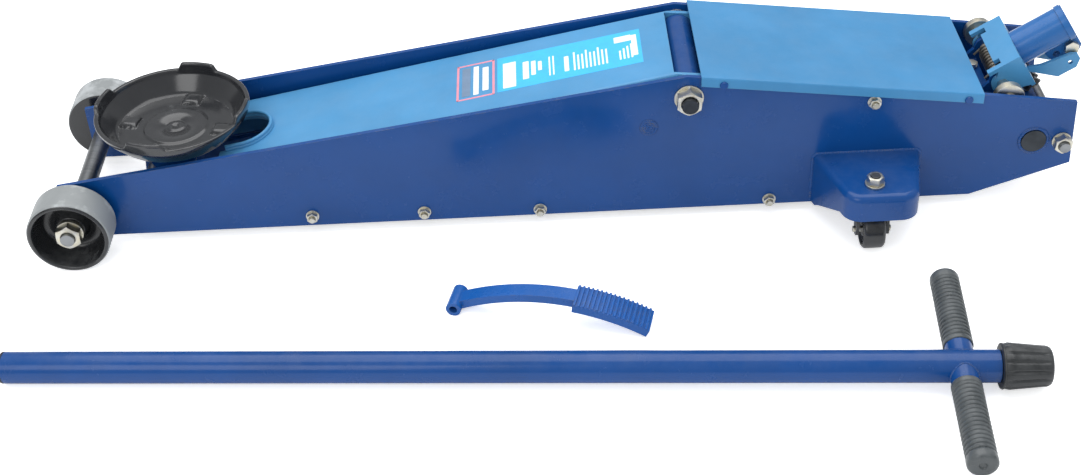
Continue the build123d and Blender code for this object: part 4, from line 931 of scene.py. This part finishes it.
class JACK_OT_lift_arm(JackOperator):
    """Lift arm with its rolled opening, its pivot tube, ram lever and printed panels"""
    bl_idname = "jack.lift_arm"
    bl_label = "Lift arm"

    def execute(self, context):
        sizes = self.sizes
        softened("lift_arm", sizes.plate_edge, 3)
        for cad_node in ("arm_pivot_tube", "ram_lever", "ram_lever_pin", "saddle_pin",
                         "arm_thrust_rings"):
            softened(cad_node, sizes.small_edge)
        half, centre = 37.0, 214.0
        for name, lift, thick in (("arm_opening_lip", 5.0, 2.6), ("arm_opening_foot", 1.0, 3.2)):
            lip = [arm_point(centre - 20.0 + k * 5.0, half, lift * MM) for k in range(4)]
            lip += [arm_point(centre + half * math.sin(math.radians(turn)),
                              half * math.cos(math.radians(turn)), lift * MM)
                    for turn in range(0, 181, 5)]
            lip += [arm_point(centre - k * 5.0, -half, lift * MM) for k in range(1, 5)]
            piece(name, wire_mesh(lip, thick * MM, 12), "arm", "blue_bright_paint")
        lines = [(586, 594, -18, 24), (597, 603, -12, 22), (606, 611, -4, 18), (620, 622, -22, 24),
                 (625, 627, -22, 24), (640, 646, -20, 16)]
        lines += [(652 + 5.2 * k, 654.4 + 5.2 * k, -22, 22 - 9 * abs(math.sin(2.1 * k)))
                  for k in range(9)]
        lines += [(711 + 5 * k, 713.4 + 5 * k, -20, 2 + 4 * k) for k in range(4)]
        lines += [(560, 577, -30, 30), (728, 735, -16, 34), (706, 728, 22, 36)]
        border = [(499, 502, -38, 46), (546, 549, -38, 46), (499, 549, -38, -35),
                  (499, 549, 43, 46)]
        marks = [(506, 517, -30, 38)]
        print_blue = printed("Panel ink", bpy.context.scene.jack_colours.panel_blue)
        print_white = printed("White ink", (0.80, 0.84, 0.86))
        print_red = printed("Red ink", (0.74, 0.28, 0.36))
        print_grey = printed("Grey ink", (0.16, 0.24, 0.36))
        panel = [(552.5, 740, -36, 46)]
        for name, rows, lift, ink in (
            ("arm_panel_ground", panel, 0.15, print_blue),
            ("arm_panel_lines", lines, 0.30, print_white),
            ("arm_panel_border", border, 0.15, print_red),
            ("arm_panel_marks", marks, 0.15, print_grey),
            ("arm_panel_blocks", [(521, 528, -30, 38), (533, 541, -24, 32)], 0.15, print_white),
        ):
            piece(name, film(rows, lift), "arm", "blue_bright_paint", material=ink)
        return {"FINISHED"}


class JACK_OT_saddle(JackOperator):
    """Dished saddle with claws and bumps, its bracket and the parallel rods"""
    bl_idname = "jack.saddle"
    bl_label = "Saddle"

    def execute(self, context):
        low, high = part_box("saddle")
        centre = Vector(((low.x + high.x) / 2, (low.y + high.y) / 2, 0))
        rim, claw_rise, claw_lean, first_claw = 101.0, 9.0, 0.2, math.radians(78)
        floor, under, top, spindle, spindle_end = 116.0, 110.0, 145.0, 14.0, 81.0
        claw_reach, claw_shoulder = math.radians(16.5), math.radians(4.0)
        bump_at, bump_half_length, bump_half_width, bump_rise = 64.0, 12.0, 12.5, 5.0

        def claw_share(angle):
            """1 on a claw, 0 between claws, with rounded shoulders."""
            off = (angle - first_claw + math.pi / 4) % (math.pi / 2) - math.pi / 4
            share = (claw_reach - abs(off)) / claw_shoulder
            share = max(0.0, min(1.0, share))
            return share * share * (3 - 2 * share)

        def shape(radius, up, angle):
            if up > top - 6.0 and radius > rim - 12:
                share = (up - top + 6.0) / 6.0
                raised = share * claw_share(angle)
                return radius + claw_lean * raised, up + claw_rise * raised
            if floor - 0.5 <= up <= floor + 0.5 and 52 < radius < 90:
                off = (angle - first_claw + math.pi / 4) % (math.pi / 2) - math.pi / 4
                across = radius * math.sin(abs(off))
                side = max(0.0, 1 - (across / bump_half_width) ** 4)
                end = max(0.0, 1 - ((radius - bump_at) / bump_half_length) ** 6)
                return radius, up + bump_rise * math.sqrt(side * end)
            return radius, up

        floor_rings = [(float(r), floor, 0) for r in range(76, 44, -1)]
        profile = outline([
            (0, spindle_end, 0), (spindle, spindle_end, 1.0), (spindle, under, 1.0),
            (76.0, under, 6.0),
            (rim - 3.5, top - 10.5, 6.0), (rim, top - 3.0, 3.0), (rim, top, 1.6),
            (rim - 5.6, top, 1.6), (rim - 7.4, top - 6.0, 2.0), (78.0, floor + 1.5, 4.0)])
        profile += outline(floor_rings + [
            (42.5, floor, 0), (41.0, floor + 1.4, 0), (39.0, floor + 1.6, 0),
            (16.0, floor + 1.6, 0),
            (14.6, floor + 0.3, 0), (12.8, floor + 0.1, 0), (11.4, floor + 1.2, 0),
            (4.5, floor + 1.2, 0), (3.4, floor + 0.2, 0), (0, floor + 0.2, 0)])
        dish = turned_mesh(profile, centre, (0, 0, 1), 240, shape)
        piece("saddle_cast", dish, "saddle_body", "saddle_black", "saddle",
              smooth=math.radians(46))
        for cad_node in ("saddle_bracket", "parallel_rod_pin", "parallel_rods"):
            softened(cad_node, self.sizes.small_edge * 2)
        return {"FINISHED"}


class JACK_OT_power_unit(JackOperator):
    """Ram, cylinder, reservoir, pump block, plunger and the ram's return springs"""
    bl_idname = "jack.power_unit"
    bl_label = "Power unit"

    def execute(self, context):
        for cad_node in ("cylinder_head", "ram_cylinder", "oil_reservoir", "pump_block",
                         "ram_clevis", "ram", "pump_plunger", "filler_plug", "release_spindle",
                         "pump_roller"):
            softened(cad_node, self.sizes.small_edge * 1.6)
        coils = []
        for low, high in solids_of("ram_return_springs"):
            middle = (low + high) / 2
            wire = 1.1 * MM
            coils.append(coil_mesh((high.z - low.z) / 2 - wire, wire,
                                   (high.x - low.x) / (2.6 * wire), high.x - low.x - 2 * wire,
                                   Vector((low.x + wire, middle.y, middle.z)), (1, 0, 0)))
        piece("ram_return_coils", joined(coils, "coils"), "root", "spring_steel",
              "ram_return_springs")
        return {"FINISHED"}


class JACK_OT_yoke(JackOperator):
    """Handle yoke, socket, pinch bolt, end discs, coupler and the spring across the yoke"""
    bl_idname = "jack.yoke"
    bl_label = "Handle yoke"

    def execute(self, context):
        sizes = self.sizes
        softened("handle_yoke", sizes.plate_edge * 0.8, 3)
        softened("handle_socket", sizes.plate_edge * 0.8, 3, "socket_paint")
        for cad_node in ("release_coupler", "socket_clamp_bolt", "yoke_shaft"):
            softened(cad_node, sizes.small_edge)
        low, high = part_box("yoke_return_spring")
        centre = (low + high) / 2
        wire = 1.7 * MM
        coil_radius = (high.z - low.z) / 2 - wire
        length = high.y - low.y - 2 * wire
        start = Vector((centre.x, low.y + wire, centre.z))
        coil = coil_mesh(coil_radius, wire, sizes.spring_turns, length, start, (0, 1, 0))
        legs = []
        for end in (low.y + wire, high.y - wire):
            leg = [Vector((centre.x - coil_radius * math.sin(turn), end,
                           centre.z + coil_radius * math.cos(turn)))
                   for turn in (0.0, 0.3, 0.6, 0.9, 1.2)]
            tail = leg[-1]
            leg += [tail + Vector((-0.006, 0, -0.007)) * share for share in (0.4, 0.8, 1.2)]
            legs.append(wire_mesh(leg, wire))
        piece("yoke_spring_coil", joined([coil, *legs], "coil"), "root", "spring_steel",
              "yoke_return_spring")
        return {"FINISHED"}


class JACK_OT_casters(JackOperator):
    """Pressed caster brackets, forks, wheels, swivel nuts and washers"""
    bl_idname = "jack.casters"
    bl_label = "Casters"

    def execute(self, context):
        sizes = self.sizes
        for hand in ("right", "left"):
            softened(f"caster_bracket_{hand}", sizes.plate_edge, 3)
            softened(f"caster_fork_{hand}", sizes.small_edge * 1.6)
            low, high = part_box(f"caster_wheel_{hand}")
            radius = (high.z - low.z) / 2 / MM
            width = (high.x - low.x) / MM
            profile = outline([
                (4.1, 1.5, 0.4), (9.0, 1.5, 0.6), (10.5, 3.5, 1.0), (radius - 7.0, 4.0, 1.0),
                (radius - 5.0, 0.6, 1.0), (radius - 3.0, 0.0, 1.5), (radius, 3.0, 2.0),
                (radius, width - 3.0, 2.0), (radius - 3.0, width, 1.5),
                (radius - 5.0, width - 0.6, 1.0), (radius - 7.0, width - 4.0, 1.0),
                (10.5, width - 3.5, 1.0), (9.0, width - 1.5, 0.6), (4.1, width - 1.5, 0.4)])
            base = Vector((low.x, (low.y + high.y) / 2, (low.z + high.z) / 2))
            piece(f"caster_wheel_{hand}_cast", turned_mesh(profile, base, (1, 0, 0), 96),
                  f"caster_{hand}", "wheel_black", f"caster_wheel_{hand}")
            pieces = solids_of(f"caster_nut_and_pin_{hand}")
            nut_low, nut_high = max(pieces, key=lambda box: box[1].z)
            pin_low, pin_high = min(pieces, key=lambda box: box[1].z)
            nut_base = Vector((
                (nut_low.x + nut_high.x) / 2, (nut_low.y + nut_high.y) / 2, nut_low.z))
            nut = repeated(nut_mesh(19.0, (nut_high.z - nut_low.z) / MM, 6.0),
                           [(nut_base, Vector((0, 0, 1)), Vector((1, 0, 0)))], "zinc",
                           sizes.nut_spread, seed=3 if hand == "right" else 5)
            pin_length = (pin_high.x - pin_low.x) / MM
            pin_outline = outline([(0, 0, 0), (4.0, 0, 0.8), (4.0, pin_length, 0.8),
                                   (0, pin_length, 0)])
            pin_base = Vector((
                pin_low.x, (pin_low.y + pin_high.y) / 2, (pin_low.z + pin_high.z) / 2))
            pin = turned_mesh(pin_outline, pin_base, (1, 0, 0), 40)
            piece(f"caster_nut_and_pin_{hand}_turned", joined([nut, pin], "nut"),
                  f"fork_{hand}", "zinc", f"caster_nut_and_pin_{hand}")
        softened("caster_races", sizes.small_edge)
        return {"FINISHED"}


def middle_of(points):
    """The mean of a cloud of points."""
    total = Vector()
    for point in points:
        total += point
    return total / len(points)


def grip_centres(level):
    """The middles of the CAD grips' points beyond and short of a level across the jack."""
    return [middle_of([vert.co for vert in NODES["handle_grips"].data.vertices
                       if (vert.co.y > level) == wanted]) for wanted in (True, False)]


def handle_frame():
    """The loose handle's axis, from the CAD tube: base, along, and the T-bar's direction."""
    points = [vert.co for vert in NODES["release_rod"].data.vertices]
    low = min(point.x for point in points)
    high = max(point.x for point in points)
    near = middle_of([point for point in points if point.x < low + 0.03])
    far = middle_of([point for point in points if point.x > high - 0.03])
    along = (far - near).normalized()
    ends = grip_centres(near.y)
    across = (ends[0] - ends[1]).normalized()
    return near, along, across


class JACK_OT_handle(JackOperator):
    """Loose T-handle: tube, plug, crossbar, ribbed grips and the fluted release knob"""
    bl_idname = "jack.handle"
    bl_label = "Pump handle"

    def execute(self, context):
        sizes = self.sizes
        near, along, across = handle_frame()
        for cad_node in ("handle_tube", "handle_plug", "handle_crossbar", "release_rod"):
            softened(cad_node, sizes.small_edge * 1.4)
        grip_low, grip_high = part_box("handle_grips")
        ends = grip_centres((grip_low.y + grip_high.y) / 2)
        cross_centre = (ends[0] + ends[1]) / 2
        grips, ribs = [], []
        inner, outer, radius = 30.0, 148.0, 17.5
        ribbed = (inner + 10.0, outer - 16.0)
        for side in (1, -1):
            axis = across * side
            profile = outline([
                (12.05, inner, 0.4), (radius, inner, 1.6), (radius, inner + 6.0, 1.2),
                (radius - 1.6, inner + 8.0, 1.0), (radius - 1.6, outer - 14.0, 1.0),
                (radius, outer - 11.5, 1.4), (radius, outer, 5.0), (5.0, outer, 1.5),
                (3.6, outer - 2.5, 1.0), (0, outer - 2.5, 0), (0, outer - 4.0, 0),
                (12.05, outer - 4.0, 0.4)])
            grips.append(turned_mesh(profile, cross_centre, axis, 72))
            pitch = (ribbed[1] - ribbed[0]) / (sizes.grip_ribs - 1)
            ribs += [(cross_centre + axis * (ribbed[0] + pitch * k) * MM, axis, along)
                     for k in range(sizes.grip_ribs)]
        rib_pitch = (ribbed[1] - ribbed[0]) / (sizes.grip_ribs - 1)
        rib_profile = outline([
            (radius - 3.0, -rib_pitch * 0.33, 0), (radius - 1.2, -rib_pitch * 0.33, 0.5),
            (radius, -rib_pitch * 0.12, 0.9), (radius, rib_pitch * 0.12, 0.9),
            (radius - 1.2, rib_pitch * 0.33, 0.5), (radius - 3.0, rib_pitch * 0.33, 0)], 2)
        rib = turned_mesh(rib_profile, Vector(), (0, 0, 1), 56)
        rib_rings = repeated(rib, ribs, "grip_grey")
        piece("handle_grips_ribbed", joined([*grips, rib_rings], "grips"), "handle", "grip_grey",
              "handle_grips")
        self.knob(near, along, sizes.knob_flutes)
        runs = []
        tube, collar = 19.0, 16.0
        for side in (1, -1):
            third = along.cross(across)
            points = []
            for k in range(61):
                turn = 2 * math.pi * k / 60
                depth = math.sqrt(tube ** 2 - (collar * math.sin(turn)) ** 2)
                points.append(cross_centre + (along * collar * math.cos(turn)
                                              + third * collar * math.sin(turn)
                                              + across * side * depth) * MM)
            centre = cross_centre + across * side * tube * MM
            runs.append(bead_places(points, lambda point, c=centre, s=side:
                                    (point - c).normalized() + across * s * 0.7))
        weld("handle_welds", runs, 1.7 * MM, "handle")
        return {"FINISHED"}

    def knob(self, near, along, flutes):
        """A round knob with shallow hollows round it, wider at the handle."""
        cloud = [vert.co for vert in NODES["release_knob"].data.vertices]
        reach = [(point - near).dot(along) for point in cloud]
        start, end = min(reach) / MM, max(reach) / MM
        radius = 27.0

        def fluted(r, s, angle):
            if r < 14.0:
                return r, s
            hollow = max(0.0, math.cos(angle * flutes)) ** 2
            depth = 1.9 * max(0.0, min(1.0, (s - start - 7.0) / 3.0, (end - 5.0 - s) / 3.0))
            return r - depth * hollow * (r / radius), s

        walls = [(radius - 0.09 * max(0.0, s), start + 9.0 + s) for s in range(0, 39, 2)]
        profile = outline([(0, start, 0), (radius - 1.0, start, 2.0), (radius, start + 3.0, 1.6)])
        profile += [Vector(point) for point in walls]
        profile += outline([
            (radius - 3.6, end - 6.0, 0), (radius - 5.4, end - 1.6, 2.0), (radius - 9.0, end, 3.0),
            (8.0, end, 1.5), (6.5, end - 1.0, 0.8), (0, end - 1.0, 0)])
        mesh = turned_mesh(profile, near, along, 168, fluted)
        piece("release_knob_fluted", mesh, "knob", "knob_black", "release_knob")


class JACK_OT_pedal(JackOperator):
    """Loose foot pedal with its boss and ribbed pad"""
    bl_idname = "jack.pedal"
    bl_label = "Foot pedal"

    def execute(self, context):
        softened("foot_pedal", self.sizes.small_edge * 1.2, finish="pedal_paint")
        return {"FINISHED"}


class JACK_OT_stage(JackOperator):
    """Pale floor, soft lights and the camera"""
    bl_idname = "jack.stage"
    bl_label = "Stage"

    def execute(self, context):
        scene = bpy.context.scene
        scene.view_settings.view_transform = "Standard"
        build = bmesh.new()
        bmesh.ops.create_grid(build, x_segments=8, y_segments=8, size=9.0)
        mesh = plain_mesh(build, "floor")
        floor = bpy.data.objects.new("floor", mesh)
        scene.collection.objects.link(floor)
        material, tree, shader = surface("Pale floor")
        speckle = effect(tree, "Patches", Scale=3.0, From=0.3, To=0.7)
        tree.links.new(blended(tree, speckle, (0.93, 0.935, 0.94), (0.95, 0.95, 0.95)),
                       shader.inputs["Base Color"])
        shader.inputs["Roughness"].default_value = 0.6
        rays = node(tree, "ShaderNodeLightPath")
        tree.links.new(between(tree, rays.outputs["Is Camera Ray"], 0.0, 0.55),
                       shader.inputs["Emission Strength"])
        shader.inputs["Emission Color"].default_value = (1, 1, 1, 1)
        mesh.materials.append(material)
        self.lights(scene)
        self.camera(scene)
        return {"FINISHED"}

    def lights(self, scene):
        world = bpy.data.worlds.new("Studio")
        scene.world = world
        world.use_nodes = True
        background = world.node_tree.nodes["Background"]
        background.inputs[0].default_value = (0.96, 0.98, 1.0, 1)
        rays = node(world.node_tree, "ShaderNodeLightPath")
        strength = between(world.node_tree, rays.outputs["Is Glossy Ray"], 1.0, 0.45)
        world.node_tree.links.new(strength, background.inputs[1])
        for name, place, aim, size, power in (
            ("Overhead softbox", (0.0, 0.9, 3.0), (0, 0.1, 0), 3.4, 70),
            ("Front softbox", (-1.6, -2.6, 2.2), (0, 0, 0.1), 1.8, 22),
        ):
            lamp = bpy.data.lights.new(name, "AREA")
            lamp.size = size
            lamp.energy = power
            holder = bpy.data.objects.new(name, lamp)
            holder.location = place
            toward = Vector(aim) - Vector(place)
            holder.rotation_euler = toward.to_track_quat("-Z", "Y").to_euler()
            scene.collection.objects.link(holder)

    def camera(self, scene):
        azimuth, elevation, roll = 0.004, 0.646, -0.050
        look = Vector((-math.sin(azimuth) * math.cos(elevation),
                       math.cos(azimuth) * math.cos(elevation), -math.sin(elevation)))
        level = Vector((math.cos(azimuth), math.sin(azimuth), 0))
        lift = level.cross(look)
        right = level * math.cos(roll) + lift * math.sin(roll)
        upward = lift * math.cos(roll) - level * math.sin(roll)
        data = bpy.data.cameras.new("Camera")
        data.sensor_width = 36.0
        data.lens = 53.16
        data.shift_y = -0.0223
        camera = bpy.data.objects.new("Camera", data)
        place = jack(610.0, -1771.0, 1278.8)
        camera.matrix_world = Matrix((
            (right.x, upward.x, -look.x, place.x),
            (right.y, upward.y, -look.y, place.y),
            (right.z, upward.z, -look.z, place.z),
            (0, 0, 0, 1)))
        scene.collection.objects.link(camera)
        scene.camera = camera


OPERATORS = (
    JACK_OT_stage, JACK_OT_chassis, JACK_OT_front_wheels, JACK_OT_lift_arm, JACK_OT_saddle,
    JACK_OT_power_unit, JACK_OT_yoke, JACK_OT_casters, JACK_OT_handle, JACK_OT_pedal,
    JACK_OT_welds,
)


class JACK_PT_panel(bpy.types.Panel):
    """Lists the jack's operators"""
    bl_idname = "JACK_PT_panel"
    bl_label = "Floor jack"
    bl_space_type = "VIEW_3D"
    bl_region_type = "UI"
    bl_category = "Floor jack"

    def draw(self, context):
        for operator in OPERATORS:
            self.layout.operator(operator.bl_idname)
        for group in (context.scene.jack_sizes, context.scene.jack_colours):
            for name in group.bl_rna.properties.keys():
                if name not in ("rna_type", "name"):
                    self.layout.prop(group, name)


CLASSES = (JackSizes, JackColours, *OPERATORS, JACK_PT_panel)


def register():
    for made in CLASSES:
        bpy.utils.register_class(made)
    bpy.types.Scene.jack_sizes = PointerProperty(type=JackSizes)
    bpy.types.Scene.jack_colours = PointerProperty(type=JackColours)


def unregister():
    del bpy.types.Scene.jack_colours
    del bpy.types.Scene.jack_sizes
    for made in reversed(CLASSES):
        bpy.utils.unregister_class(made)


def main():
    register()
    for operator in OPERATORS:
        family, name = operator.bl_idname.split(".")
        getattr(getattr(bpy.ops, family), name)()


if __name__ == "__main__":
    main()
